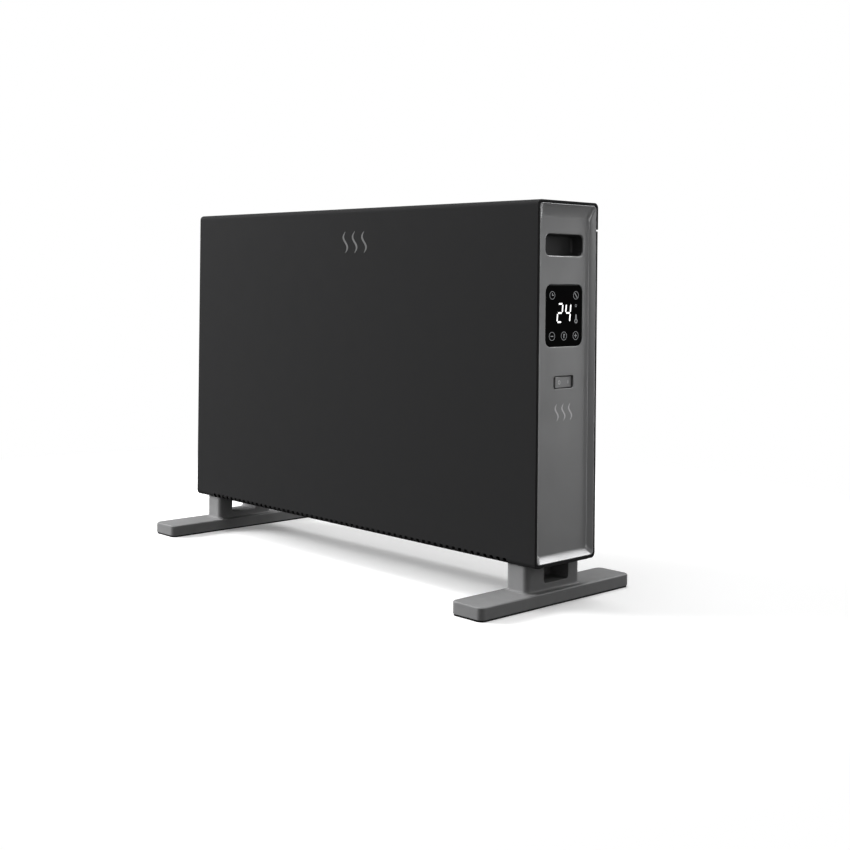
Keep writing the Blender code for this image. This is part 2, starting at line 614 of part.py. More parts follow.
def make_switch():
    pivot_x = rocker_pivot()
    mouth = CAP_BACK - GAP
    length = ROCKER_LENGTH + 2 * ROCKER_BOX_WALL
    height = ROCKER_HEIGHT + 2 * ROCKER_BOX_WALL
    outer = box((mouth - ROCKER_BOX_DEPTH, -length / 2, ROCKER_Z - height / 2),
                (mouth, length / 2, ROCKER_Z + height / 2))
    housing = new_object("rocker_housing", outer, "black_plastic")
    cavity_back = mouth - ROCKER_BOX_DEPTH + ROCKER_BOX_WALL
    cavity = box((cavity_back, -ROCKER_LENGTH / 2, ROCKER_Z - ROCKER_HEIGHT / 2),
                 (mouth + REACH, ROCKER_LENGTH / 2, ROCKER_Z + ROCKER_HEIGHT / 2))
    combine(housing, tool_object("cutter_switch_cavity", cavity))
    bore = cylinder((pivot_x, 0, ROCKER_Z - ROCKER_HEIGHT), 2 * ROCKER_HEIGHT, ROCKER_PIN + FIT, "z", 16)
    combine(housing, tool_object("cutter_switch_pivot", bore))

    rocker = new_object("power_rocker", rocker_body(pivot_x), "graphite_plastic", (pivot_x, 0, ROCKER_Z))
    pin_reach = ROCKER_HEIGHT / 2 + ROCKER_BOX_WALL * 0.8
    pin = cylinder((pivot_x, 0, ROCKER_Z - pin_reach), 2 * pin_reach, ROCKER_PIN, "z", 16)
    combine(rocker, tool_object("joiner_rocker_pin", pin), "UNION")


def rocker_body(pivot_x):
    """The rocker leaning to its 'on' side: the rear end is pressed in."""
    half = ROCKER_LENGTH / 2 - ROCKER_CLEARANCE
    high = ROCKER_HEIGHT / 2 - ROCKER_CLEARANCE
    waist = half * 0.35
    outline = [(ROCKER_THICKNESS, -half), (ROCKER_THICKNESS - ROCKER_SAG, 0), (ROCKER_THICKNESS, half),
               (ROCKER_THICKNESS - ROCKER_SKIRT, half), (-ROCKER_KEEL, waist), (-ROCKER_KEEL, -waist),
               (ROCKER_THICKNESS - ROCKER_SKIRT, -half)]
    lean = math.radians(ROCKER_TRAVEL / 2)
    bm = bmesh.new()
    verts = []
    for x, y in outline:
        turned_x = x * math.cos(lean) - y * math.sin(lean)
        turned_y = x * math.sin(lean) + y * math.cos(lean)
        verts.append(bm.verts.new((pivot_x + turned_x, turned_y, ROCKER_Z - high)))
    face = bm.faces.new(verts)
    top = bmesh.ops.extrude_face_region(bm, geom=[face])["geom"]
    bmesh.ops.translate(bm, verts=[v for v in top if isinstance(v, bmesh.types.BMVert)], vec=(0, 0, 2 * high))
    return bm


# ---------------------------------------------------------------- feet
def make_feet():
    outer, inner = FOOT_OUTER, FOOT_OUTER - FOOT_WIDTH
    half = FOOT_LENGTH / 2

    def bar(level, inset):
        return rounded_loop("z", level, (inner + inset, inset - half), (outer - inset, half - inset),
                            FOOT_CORNER - inset, 5)

    def post(level, grow):
        reach, width = POST_LENGTH / 2 + grow, POST_WIDTH / 2 + grow
        return rounded_loop("z", level, (POST_MIDDLE - width, -reach), (POST_MIDDLE + width, reach),
                            POST_CORNER + grow, 5)

    edge = [bar(FOOT_BAR - FOOT_EDGE * (1 - math.sin(a)), FOOT_EDGE * (1 - math.cos(a)))
            for a in (0, math.pi / 6, math.pi / 3, math.pi / 2)]
    spread = min(POST_FILLET, (FOOT_WIDTH - POST_WIDTH - POST_INSET) * 0.45)
    fillet = [post(FOOT_BAR + POST_FILLET * (1 - math.cos(a)), spread * (1 - math.sin(a)))
              for a in (0, math.pi / 6, math.pi / 3, math.pi / 2)]
    for name, side in SIDES:
        window_y = side * WINDOW_SHIFT
        inner_face = POST_MIDDLE - POST_WIDTH / 2
        depth_end = inner_face + WINDOW_BACK if side > 0 else inner_face - REACH
        window_low = (depth_end, window_y - WINDOW_LENGTH / 2, BOTTOM - WINDOW_HEIGHT)
        window_high = (POST_MIDDLE + POST_WIDTH, window_y + WINDOW_LENGTH / 2, BOTTOM + REACH)
        body = loft([bar(BAR_BOTTOM, 0)] + edge + fillet + [post(POST_TOP, 0)])
        foot = new_object(f"{name}_foot", sided(body, side), "foot_plastic")
        window = box(window_low, window_high, "x", WINDOW_RADIUS)
        combine(foot, tool_object(f"cutter_window_{name}", sided(window, side)))
        sole_loops = [rounded_loop("z", level, (inner + SOLE_INSET, SOLE_INSET - half),
                                   (outer - SOLE_INSET, half - SOLE_INSET), FOOT_CORNER - SOLE_INSET, 5)
                      for level in (0, SOLE_THICKNESS)]
        sole = new_object(f"{name}_foot_sole", sided(loft(sole_loops), side), "rubber")
        make_bracket(name, side)
        for place, y in (("front", -FOOT_SCREW_Y), ("rear", FOOT_SCREW_Y)):
            make_foot_screw(f"{name}_{place}", side * POST_MIDDLE, y, foot, sole)


def make_bracket(name, side):
    """A steel strap inside the body that the foot screws bite into."""
    low = INNER_FLOOR + GAP
    strap = new_object(f"{name}_foot_bracket",
                       box_about((side * POST_MIDDLE, 0, low + BRACKET_THICKNESS / 2),
                                 (BRACKET_WIDTH, 2 * (HALF_DEPTH - FRONT_FOLD) + 0.012, BRACKET_THICKNESS)),
                       "zinc_steel")
    for place, y in (("front", -FOOT_SCREW_Y), ("rear", FOOT_SCREW_Y)):
        hole = cylinder((side * POST_MIDDLE, y, low - REACH), 2 * REACH, FOOT_SCREW_RADIUS + FIT, "z", 12)
        combine(strap, tool_object(f"cutter_bracket_{name}_{place}", hole))


def make_foot_screw(name, x, y, foot, sole):
    bore = cylinder((x, y, -REACH), FOOT_SCREW_SEAT + REACH, FOOT_SCREW_HEAD + FIT, "z", 16)
    combine(foot, tool_object(f"cutter_counterbore_{name}", bore))
    hole = cylinder((x, y, 0), BOTTOM + REACH, FOOT_SCREW_RADIUS + FIT, "z", 12)
    combine(foot, tool_object(f"cutter_screw_hole_{name}", hole))
    access = cylinder((x, y, -REACH), 2 * REACH, FOOT_SCREW_HEAD + FIT, "z", 16)
    combine(sole, tool_object(f"cutter_sole_{name}", access))
    length = FOOT_SCREW_GRIP + SHEET + BRACKET_THICKNESS + 0.004
    screw = turned([(-FOOT_SCREW_HEAD_HEIGHT, FOOT_SCREW_HEAD * 0.7), (-0.001, FOOT_SCREW_HEAD),
                    (0, FOOT_SCREW_HEAD), (0, FOOT_SCREW_RADIUS), (length - 0.0015, FOOT_SCREW_RADIUS),
                    (length, FOOT_SCREW_RADIUS * 0.4)], "z", (x, y, FOOT_SCREW_SEAT - GAP), 12)
    new_object(f"foot_screw_{name}", screw, "zinc_steel")


# ---------------------------------------------------------------- hot chamber
def element_places():
    return (("front", -ELEMENT_SPACING / 2), ("rear", ELEMENT_SPACING / 2))


def make_wall(name, x, material, height=None, hole=INSULATOR_RADIUS + FIT):
    """An upright plate across the body, with two holes for the element rods."""
    low = INNER_FLOOR + GAP
    high = low + height if height else TOP - PARTITION_MARGIN - GRILLE_DEPTH
    half = HALF_DEPTH - PARTITION_MARGIN
    wall = new_object(name, box((x, -half, low), (x + PLATE, half, high), "x", FOLD_RADIUS), material)
    for place, y in element_places():
        bore = cylinder((x - REACH, y, ELEMENT_Z), 2 * REACH + PLATE, hole, "x", 24)
        combine(wall, tool_object(f"cutter_{name}_{place}", bore))
    return wall


def make_hot_chamber():
    shield_x = PARTITION_X - SHIELD_OFFSET
    make_wall("right_partition", PARTITION_X, "zinc_steel")
    make_wall("left_partition", PARTITION_LEFT_X, "zinc_steel")
    make_wall("heat_shield", shield_x, "aluminium", SHIELD_HEIGHT)
    start = PARTITION_LEFT_X + PLATE + ELEMENT_MARGIN
    end = shield_x - ELEMENT_MARGIN
    for place, y in element_places():
        make_element(place, y, start, end)
        rod_start = PARTITION_LEFT_X - ROD_OVERHANG
        rod_end = PARTITION_X + PLATE + ROD_OVERHANG
        rod = cylinder((rod_start, y, ELEMENT_Z), rod_end - rod_start, ROD_RADIUS, "x", 16)
        new_object(f"heater_rod_{place}", rod, "zinc_steel")
        make_insulator(f"insulator_right_{place}", PARTITION_X + PLATE, y, 1)
        make_insulator(f"insulator_left_{place}", PARTITION_LEFT_X, y, -1)


def make_insulator(name, face, y, direction):
    """A ceramic bush seated in a wall, with its flange on the cool side."""
    rings = [(-INSULATOR_LENGTH / 2, INSULATOR_RADIUS), (GAP, INSULATOR_RADIUS), (GAP, INSULATOR_FLANGE),
             (GAP + 0.0030, INSULATOR_FLANGE), (INSULATOR_LENGTH / 2, INSULATOR_RADIUS)]
    bm = bush([(direction * along, radius) for along, radius in rings], ROD_RADIUS + FIT, "x",
              (face, y, ELEMENT_Z), 16)
    new_object(name, bm, "ceramic")


def make_element(place, y, start, end):
    """An extruded aluminium radiator: a tube with fins in an X, slid onto the rod."""
    name = f"heating_element_{place}"
    bm = cylinder((start, y, ELEMENT_Z), end - start, ELEMENT_CORE, "x", 16)
    element = new_object(name, bm, "aluminium")
    for index, angle in enumerate((math.radians(35), math.radians(-35), math.pi / 2)):
        reach = ELEMENT_SIZE if index < 2 else ELEMENT_SIZE * 0.8
        fin = box_about((0, 0, 0), (end - start - 0.002 * (index + 1), reach, ELEMENT_FIN))
        spin = Vector((0, 1, 0)).rotation_difference(Vector((0, math.cos(angle), math.sin(angle))))
        bmesh.ops.rotate(fin, verts=fin.verts, matrix=spin.to_matrix())
        bmesh.ops.translate(fin, verts=fin.verts, vec=((start + end) / 2, y, ELEMENT_Z))
        combine(element, tool_object(f"joiner_{name}_{index}", fin), "UNION")
    bore = cylinder((start - REACH, y, ELEMENT_Z), end - start + 2 * REACH, ROD_RADIUS + FIT, "x", 16)
    combine(element, tool_object(f"cutter_{name}", bore))


def make_thermal_guards():
    """The resetting cut-out and the one-shot fuse, on the cool side of the partition."""
    face = PARTITION_X + PLATE + GAP
    z = ELEMENT_Z + GUARD_RISE
    lug, shoulder = 0.0012, 0.0010
    cutout = turned([(0, CUTOUT_FLANGE), (lug, CUTOUT_FLANGE), (lug, CUTOUT_RADIUS),
                     (CUTOUT_LENGTH - shoulder, CUTOUT_RADIUS), (CUTOUT_LENGTH, CUTOUT_RADIUS - shoulder)],
                    "x", (face, -CUTOUT_FLANGE * 2, z), 24)
    new_object("thermal_cutout", cutout, "black_plastic")
    tail = FUSE_RADIUS / 5
    shoulder_z = FUSE_TAIL + FUSE_LENGTH
    fuse = turned([(0, tail), (FUSE_TAIL, tail), (FUSE_TAIL, FUSE_RADIUS), (shoulder_z, FUSE_RADIUS),
                   (shoulder_z, tail), (shoulder_z + FUSE_TAIL, tail)],
                  "z", (face + FUSE_RADIUS + GAP, CUTOUT_FLANGE * 2, z - CUTOUT_FLANGE), 12)
    new_object("thermal_fuse", fuse, "zinc_steel")


# ---------------------------------------------------------------- controls
def make_control_board():
    bm = box((BOARD_X, -BOARD_HALF, BOARD_LOW), (BOARD_X + BOARD, BOARD_HALF, BOARD_HIGH))
    new_object("control_board", bm, "circuit_board")
    rail_start = PARTITION_X + PLATE + GAP
    for name, z in (("lower", BOARD_LOW + 2 * RAIL_HALF), ("upper", BOARD_HIGH - 2 * RAIL_HALF)):
        rail = box((rail_start, -BOARD_HALF, z - RAIL_HALF), (BOARD_X - GAP, BOARD_HALF, z + RAIL_HALF))
        new_object(f"board_rail_{name}", rail, "black_plastic")
    for index, y in enumerate((-0.55 * BOARD_HALF, 0.15 * BOARD_HALF), 1):
        relay = on_board(RELAY_SIZE, y, BOARD_LOW + 0.20 * BOARD_HEIGHT)
        new_object(f"relay_{index}", relay, "component_blue")
    coil = on_board(TRANSFORMER_SIZE, 0.30 * BOARD_HALF, BOARD_HIGH - 0.25 * BOARD_HEIGHT)
    new_object("transformer", coil, "brass")
    shoulder = 0.0010
    capacitor = turned([(0, CAPACITOR_RADIUS), (CAPACITOR_LENGTH - shoulder, CAPACITOR_RADIUS),
                        (CAPACITOR_LENGTH, CAPACITOR_RADIUS - shoulder)], "x",
                       (BOARD_FACE, -0.30 * BOARD_HALF, BOARD_HIGH - 0.20 * BOARD_HEIGHT), 20)
    new_object("capacitor", capacitor, "component_blue")
    make_heatsink()


def on_board(size, y, z):
    """A component body with softened edges, standing on the control board."""
    return box_about((BOARD_FACE + size[0] / 2, y, z), size, "x", 0.0010, 2)


def make_heatsink():
    """A finned block for the power switching part: three grooves across one bar."""
    depth, width, height = HEATSINK_SIZE
    middle = (BOARD_FACE + depth / 2, -0.70 * BOARD_HALF, BOARD_LOW + 0.50 * BOARD_HEIGHT)
    sink = new_object("triac_heatsink", box_about(middle, HEATSINK_SIZE), "aluminium")
    pitch = height / 3.5
    for index in (-1, 0, 1):
        groove = box_about((BOARD_FACE + HEATSINK_BASE + depth / 2, middle[1], middle[2] + index * pitch),
                           (depth, width + 2 * REACH, HEATSINK_GROOVE))
        combine(sink, tool_object(f"cutter_heatsink_{index + 2}", groove))


def make_mains_entry():
    """The cord gland in the rear panel, and the terminal block near it."""
    lead_in = 0.0012
    barrel = [(-GLAND_REACH, GLAND_BARREL - lead_in), (lead_in - GLAND_REACH, GLAND_BARREL),
              (GAP, GLAND_BARREL)]
    collar = [(GAP, GLAND_COLLAR), (GLAND_PROUD - lead_in, GLAND_COLLAR),
              (GLAND_PROUD, GLAND_COLLAR - lead_in)]
    rings = barrel + collar
    gland = bush(rings, CABLE_RADIUS + FIT, "y", (GLAND_X, REAR_FACE, GLAND_Z), 24)
    new_object("cord_gland", gland, "black_plastic")

    size = Vector(TERMINAL_SIZE)
    low = Vector((PARTITION_X + TERMINAL_SETBACK, TERMINAL_PITCH / 5, TERMINAL_LOW))
    block = new_object("terminal_block", box(low, low + size), "ceramic")
    for index in range(3):
        bore = cylinder((low.x - REACH, terminal_y(index), low.z + size.z / 2), size.x + 2 * REACH,
                        TERMINAL_BORE, "x", 12)
        combine(block, tool_object(f"cutter_terminal_{index}", bore))


def terminal_y(index):
    """The middle of one way of the terminal block."""
    return TERMINAL_PITCH * (0.7 + index)


def make_probe():
    """Room temperature probe, low in the control bay where the air comes in."""
    foot, stem = PROBE_LENGTH * 0.22, PROBE_LENGTH * 0.10
    base = INNER_FLOOR + GAP + BRACKET_THICKNESS + GAP
    rings = [(0, foot), (stem, foot), (stem, stem), (PROBE_LENGTH - stem, stem), (PROBE_LENGTH, stem / 2)]
    bm = turned(rings, "z", (PARTITION_X + PROBE_SETBACK, PROBE_Y, base), 16)
    new_object("temperature_probe", bm, "zinc_steel")


# ---------------------------------------------------------------- tip-over switch
def make_tilt_switch():
    """A weight that hangs in a small box and breaks the circuit when the heater tips."""
    low = (TILT_X, TILT_Y - TILT_HALF, TILT_LOW)
    high = (TILT_X + TILT_DEPTH, TILT_Y + TILT_HALF, TILT_LOW + TILT_HEIGHT)
    case = new_object("tilt_switch_case", box(low, high), "black_plastic")
    cavity = box((TILT_X + TILT_WALL, low[1] + TILT_WALL, low[2] + TILT_WALL),
                 (high[0] + REACH, high[1] - TILT_WALL, high[2] - TILT_WALL))
    combine(case, tool_object("cutter_tilt_cavity", cavity))
    cover = box((high[0] + GAP, low[1], low[2]), (high[0] + GAP + TILT_WALL, high[1], high[2]))
    new_object("tilt_switch_cover", cover, "black_plastic")

    pivot_z = high[2] - TILT_WALL - TILT_PIN_DROP
    pin_length = TILT_DEPTH - TILT_WALL - GAP
    pin = cylinder((TILT_X + TILT_WALL + GAP, TILT_Y, pivot_z), pin_length, TILT_PIN, "x", 12)
    new_object("tilt_switch_pin", pin, "zinc_steel")

    middle = TILT_X + (TILT_DEPTH + TILT_WALL) / 2
    weight = cylinder((middle - TILT_WEIGHT_LENGTH / 2, TILT_Y, pivot_z - TILT_ARM), TILT_WEIGHT_LENGTH,
                      TILT_WEIGHT, "x", 20)
    pendulum = new_object("tilt_pendulum", weight, "brass", (middle, TILT_Y, pivot_z))
    arm = box_about((middle, TILT_Y, pivot_z - TILT_ARM / 2), (2 * TILT_PIN, 2.4 * TILT_PIN, TILT_ARM))
    combine(pendulum, tool_object("joiner_tilt_arm", arm), "UNION")
    eye_length = TILT_WEIGHT_LENGTH * 0.45
    eye = cylinder((middle - eye_length / 2, TILT_Y, pivot_z), eye_length, TILT_PIN + TILT_WALL, "x", 16)
    combine(pendulum, tool_object("joiner_tilt_eye", eye), "UNION")
    bore = cylinder((middle - REACH, TILT_Y, pivot_z), 2 * REACH, TILT_PIN + FIT, "x", 16)
    combine(pendulum, tool_object("cutter_tilt_eye", bore))


# ---------------------------------------------------------------- inner wiring
def make_wire(name, points, radius):
    """A wire along a smooth route, as a round curve with closed ends."""
    curve = bpy.data.curves.new(name, "CURVE")
    curve.dimensions = "3D"
    curve.bevel_depth = radius
    curve.bevel_resolution = 2
    curve.use_fill_caps = True
    smooth = smooth_route(points)
    spline = curve.splines.new("POLY")
    spline.points.add(len(smooth) - 1)
    for point, place in zip(spline.points, smooth):
        point.co = (*place, 1.0)
    if "wire_brown" not in bpy.data.materials:
        make_material("wire_brown")
    curve.materials.append(bpy.data.materials["wire_brown"])
    bpy.context.scene.collection.objects.link(bpy.data.objects.new(name, curve))


def smooth_route(points, steps=4):
    """A Catmull-Rom curve through the route's own points."""
    points = [Vector(point) for point in points]
    padded = [2 * points[0] - points[1]] + points + [2 * points[-1] - points[-2]]
    route = []
    for p0, p1, p2, p3 in zip(padded, padded[1:], padded[2:], padded[3:]):
        for step in range(steps):
            t = step / steps
            route.append(0.5 * (2 * p1 + (p2 - p0) * t + (2 * p0 - 5 * p1 + 4 * p2 - p3) * t * t
                                + (3 * p1 - p0 - 3 * p2 + p3) * t ** 3))
    return route + [points[-1]]


def make_wiring(display_back):
    """Four leads. Each leaves and enters square to its face, so that its flat ends stay clear."""
    stub, bend = Vector((0.003, 0, 0)), Vector((0.010, 0, 0))

    def run(name, start, middle, end, end_side=-1):
        start, end = Vector(start), Vector(end)
        make_wire(name, [start, start + stub, start + bend, *middle,
                         end + end_side * bend, end + end_side * stub, end], WIRE_RADIUS)

    block = PARTITION_X + TERMINAL_SETBACK + TERMINAL_SIZE[0] + GAP
    block_z = TERMINAL_LOW + TERMINAL_SIZE[2] / 2
    live_y, neutral_y = terminal_y(1), terminal_y(0)
    switch_back = CAP_BACK - GAP - ROCKER_BOX_DEPTH - GAP
    run("live_wire", (block, live_y, block_z),
        [(block + 0.015, live_y, block_z + 0.050), (block + 0.012, live_y / 2, ROCKER_Z - 0.040)],
        (switch_back, live_y / 3, ROCKER_Z))
    board_edge = BOARD_LOW + 2 * RAIL_HALF
    run("neutral_wire", (block, neutral_y, block_z), [(block + 0.008, neutral_y + 0.003, block_z + 0.031)],
        (BOARD_FACE, 0.75 * BOARD_HALF, board_edge), 1)
    rod_end = PARTITION_X + PLATE + ROD_OVERHANG + GAP
    run("heater_lead", (BOARD_FACE, -0.85 * BOARD_HALF, board_edge), [],
        (rod_end, -ELEMENT_SPACING / 2, ELEMENT_Z), 1)
    lens_z = LENS_Z - LENS_HEIGHT / 2 + 0.012
    lead_z = BOARD_HIGH - 2 * RAIL_HALF
    run("display_lead", (BOARD_FACE, -0.75 * BOARD_HALF, lead_z),
        [(BOARD_FACE + 0.020, -0.70 * BOARD_HALF, lead_z + 0.036)],
        (display_back - GAP, -0.55 * BOARD_HALF, lens_z))


def build():
    for thing in list(bpy.data.objects):
        bpy.data.objects.remove(thing, do_unlink=True)
    make_casing()
    make_caps()
    display_back = make_display()
    make_switch()
    make_feet()
    make_hot_chamber()
    make_thermal_guards()
    make_control_board()
    make_mains_entry()
    make_probe()
    make_tilt_switch()
    make_wiring(display_back)


build()
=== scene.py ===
"""The looks of a free-standing panel convector heater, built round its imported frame."""
import json
import math

import bmesh
import bpy
from mathutils import Matrix, Vector


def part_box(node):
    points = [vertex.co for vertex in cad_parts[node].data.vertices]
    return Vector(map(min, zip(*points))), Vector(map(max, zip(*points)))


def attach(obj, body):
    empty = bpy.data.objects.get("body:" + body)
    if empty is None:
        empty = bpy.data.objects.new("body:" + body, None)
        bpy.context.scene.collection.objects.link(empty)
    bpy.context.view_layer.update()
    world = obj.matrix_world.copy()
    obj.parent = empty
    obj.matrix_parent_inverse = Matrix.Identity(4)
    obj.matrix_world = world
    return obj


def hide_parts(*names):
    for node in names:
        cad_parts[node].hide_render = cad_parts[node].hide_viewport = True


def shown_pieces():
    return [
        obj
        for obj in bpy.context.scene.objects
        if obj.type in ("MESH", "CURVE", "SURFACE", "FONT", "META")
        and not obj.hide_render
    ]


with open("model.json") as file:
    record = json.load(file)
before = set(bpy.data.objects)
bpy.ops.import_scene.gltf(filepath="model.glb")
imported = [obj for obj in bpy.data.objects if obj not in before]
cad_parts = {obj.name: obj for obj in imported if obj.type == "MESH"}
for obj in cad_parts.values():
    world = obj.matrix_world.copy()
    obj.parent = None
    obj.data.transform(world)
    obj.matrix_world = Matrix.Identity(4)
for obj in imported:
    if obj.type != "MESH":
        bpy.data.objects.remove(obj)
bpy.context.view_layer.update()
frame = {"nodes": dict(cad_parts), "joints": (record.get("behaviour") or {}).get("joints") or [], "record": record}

SCENE = bpy.context.scene
BODY = "heater"

# ---------------------------------------------------------------- camera
# It stands off the control end, a little below the top of the body, and looks along the front.
camera = bpy.data.objects.new("camera", bpy.data.cameras.new("camera"))
SCENE.collection.objects.link(camera)
SCENE.camera = camera
CAMERA_PLACE = Vector((1.2556, -1.0982, 0.3565))
CAMERA_TURN, CAMERA_TILT, CAMERA_ROLL = 46.67, 0.32, 0.60   # degrees
camera.data.sensor_width = 36.0
camera.data.lens = 54.85
camera.data.shift_x = 0.0018
camera.data.shift_y = -0.1785
camera.matrix_world = (Matrix.Translation(CAMERA_PLACE)
                       @ Matrix.Rotation(math.radians(CAMERA_TURN), 4, "Z")
                       @ Matrix.Rotation(math.radians(90 + CAMERA_TILT), 4, "X")
                       @ Matrix.Rotation(math.radians(CAMERA_ROLL), 4, "Z"))

# ---------------------------------------------------------------- sizes, from the frame
SHELL_LOW, SHELL_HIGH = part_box("front_shell")
LEFT, FRONT, BOTTOM = SHELL_LOW
RIGHT, BACK, TOP = SHELL_HIGH
SHEET = 0.0010
GAP = 0.0003                 # clearance between pieces
FOLD = 0.0060                # outer radius of the long folds
FLANGE, FLANGE_BEND = 0.0030, 0.0007    # sheet turned in at each open end, and its bend
OPENING_CORNER = 0.0048
FRONT_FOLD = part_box("base_tray")[0].y - GAP - FRONT
REAR_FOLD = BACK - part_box("rear_panel")[0].y
REAR_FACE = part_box("rear_panel")[1].y
REAR_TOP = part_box("rear_panel")[1].z
LIP_BOTTOM = REAR_TOP + 0.0020
REACH = 0.0050               # how far a cutter passes what it cuts

SLOT_PITCH, SLOT_WIDTH, SLOT_RISE, SLOT_RUN, SLOT_MARGIN = 0.010, 0.005, 0.0058, 0.0040, 0.040
SLOT_CORNER = 0.0012
OUTLET_CORNER = 0.0030
SCREW_HOLE, GLAND_HOLE = 0.0020, 0.0068
GRILLE_RIM, GRILLE_PITCH, GRILLE_BAR = 0.0040, 0.0120, 0.0030

CAP_LOW, CAP_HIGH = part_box("right_end_cap")
DISH_DEPTH, CAP_WALL, CAP_RIM = 0.0055, 0.0020, 0.0015
DISH_SIDE, DISH_TOP, DISH_BOTTOM = 0.0050, 0.0140, 0.0070
DISH_EASE = 1.25             # 1 would be a straight slope, 2 an even curve
RIM_ROUND, RIM_INNER = 0.0008, 0.0007   # the rim's outer and inner rounds
ROUND_STEPS, DISH_STEPS = 6, 16
CAP_FLOOR = RIGHT - DISH_DEPTH
CAP_BACK = CAP_FLOOR - CAP_WALL

POCKET_LOW, POCKET_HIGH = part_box("right_handle_pocket")
POCKET_WALL = 0.0015
LENS_LOW, LENS_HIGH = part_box("display_lens")
LENS_FLANGE = 0.0020
HOUSING_WALL, KEY_CLEARANCE = 0.0018, 0.0009
HOUSING_LOW, HOUSING_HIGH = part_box("rocker_housing")
KEY_HALF = HOUSING_HIGH.y - HOUSING_WALL - KEY_CLEARANCE
KEY_HEIGHT = (HOUSING_HIGH.z - HOUSING_LOW.z) / 2 - HOUSING_WALL - KEY_CLEARANCE


# ---------------------------------------------------------------- mesh helpers
def verts_of(geom):
    """The vertices among what an operator made."""
    return [item for item in geom if isinstance(item, bmesh.types.BMVert)]


def edges_of(geom):
    """The edges among what an operator made."""
    return [item for item in geom if isinstance(item, bmesh.types.BMEdge)]


def rounded(bm, geom, radius, segments, affect="EDGES"):
    """Rounds edges or corners off by a radius."""
    return bmesh.ops.bevel(bm, geom=geom, offset=radius, offset_type="OFFSET", segments=segments,
                           profile=0.5, affect=affect, clamp_overlap=True, material=-1)


def outline(bm, low, high, radius=0.0, segments=10):
    """A closed loop of edges round a flat box, with rounded corners. The box is flat on one axis."""
    low, high = Vector(low), Vector(high)
    flat = min(range(3), key=lambda axis: high[axis] - low[axis])
    a, b = [axis for axis in range(3) if axis != flat]
    corners = []
    for u, v in ((low[a], low[b]), (high[a], low[b]), (high[a], high[b]), (low[a], high[b])):
        place = Vector(low)
        place[a], place[b] = u, v
        corners.append(bm.verts.new(place))
    before = set(bm.edges)
    face = bm.faces.new(corners)
    if radius:
        made = rounded(bm, corners, radius, segments, "VERTICES")
        face = next(f for f in bm.faces if f.is_valid and set(f.edges).isdisjoint(before)
                    and any(v in f.verts for v in verts_of(made["verts"])))
    loop = list(face.edges)
    bmesh.ops.delete(bm, geom=[face], context="FACES_ONLY")
    return loop


def carry(bm, loop, low, high):
    """Extrudes a loop of edges and fits the new loop to a box. Returns the new loop."""
    geom = bmesh.ops.extrude_edge_only(bm, edges=loop)["geom"]
    verts = verts_of(geom)
    low, high = Vector(low), Vector(high)
    for axis in range(3):
        values = [v.co[axis] for v in verts]
        start, span = min(values), max(values) - min(values)
        for v in verts:
            share = (v.co[axis] - start) / span if span > 1e-7 else 0.0
            v.co[axis] = low[axis] + share * (high[axis] - low[axis])
    return edges_of(geom)


def fill(bm, *loops):
    """Closes a flat region between an outer loop and any holes in it."""
    edges = [edge for loop in loops for edge in loop]
    if len(loops) == 1:
        bmesh.ops.contextual_create(bm, geom=edges)
    else:
        bmesh.ops.triangle_fill(bm, use_beauty=True, use_dissolve=False, edges=edges)


def block(bm, low, high, radius=0.0, segments=3, axis=None):
    """A box, with all its edges rounded or only those along one axis."""
    low, high = Vector(low), Vector(high)
    verts = bmesh.ops.create_cube(bm, size=1.0)["verts"]
    bmesh.ops.scale(bm, verts=verts, vec=high - low)
    bmesh.ops.translate(bm, verts=verts, vec=(low + high) / 2)
    if radius:
        edges = {edge for vert in verts for edge in vert.link_edges}
        if axis is not None:
            edges = {e for e in edges if abs(e.verts[0].co[axis] - e.verts[1].co[axis]) > 1e-6}
        rounded(bm, list(edges), radius, segments)
    return bm


def spun(rings, axis, at, segments=48):
    """A turned shape from (distance along the axis, radius) pairs."""
    bm = bmesh.new()
    direction = Vector([float(axis == i) for i in range(3)])
    side = Vector((0, 1, 0)) if axis != 1 else Vector((1, 0, 0))
    at = Vector(at)
    profile = [bm.verts.new(at + direction * along + side * radius) for along, radius in rings]
    edges = [bm.edges.new(pair) for pair in zip(profile, profile[1:])]
    bmesh.ops.spin(bm, geom=profile + edges, cent=at, axis=direction, steps=segments, angle=math.tau,
                   use_merge=True)
    bmesh.ops.remove_doubles(bm, verts=bm.verts, dist=1e-6)
    bmesh.ops.recalc_face_normals(bm, faces=bm.faces)
    return bm


def quarter_turn(steps, first=1):
    """Sine and cosine at even steps through a right angle, for rounding an edge."""
    for step in range(first, steps + 1):
        angle = math.pi / 2 * step / steps
        yield math.sin(angle), math.cos(angle)


def spaced(count, pitch, middle=0.0):
    """Even places along a line, spread about its middle."""
    return [middle + (index - (count - 1) / 2) * pitch for index in range(count)]


def round_cutter(bm, middle, radius, length, along_y=False):
    """A cylinder to cut with, upright unless it lies along Y."""
    ring = bmesh.ops.create_cone(bm, cap_ends=True, segments=32, radius1=radius, radius2=radius,
                                 depth=length)["verts"]
    if along_y:
        bmesh.ops.rotate(bm, verts=ring, matrix=Matrix.Rotation(math.pi / 2, 3, "X"))
    bmesh.ops.translate(bm, verts=ring, vec=middle)


def face_outwards(bm):
    """Points a sheet's faces away from the middle of the heater."""
    bmesh.ops.recalc_face_normals(bm, faces=bm.faces)
    middle = Vector((0, (FRONT + BACK) / 2, (BOTTOM + TOP) / 2))
    if sum((f.calc_center_median() - middle).dot(f.normal) * f.calc_area() for f in bm.faces) < 0:
        bmesh.ops.reverse_faces(bm, faces=bm.faces)


def flip_ends(bm):
    """Mirrors a shape to the plain end of the heater."""
    bmesh.ops.scale(bm, verts=bm.verts, vec=(-1, 1, 1))
    bmesh.ops.recalc_face_normals(bm, faces=bm.faces)


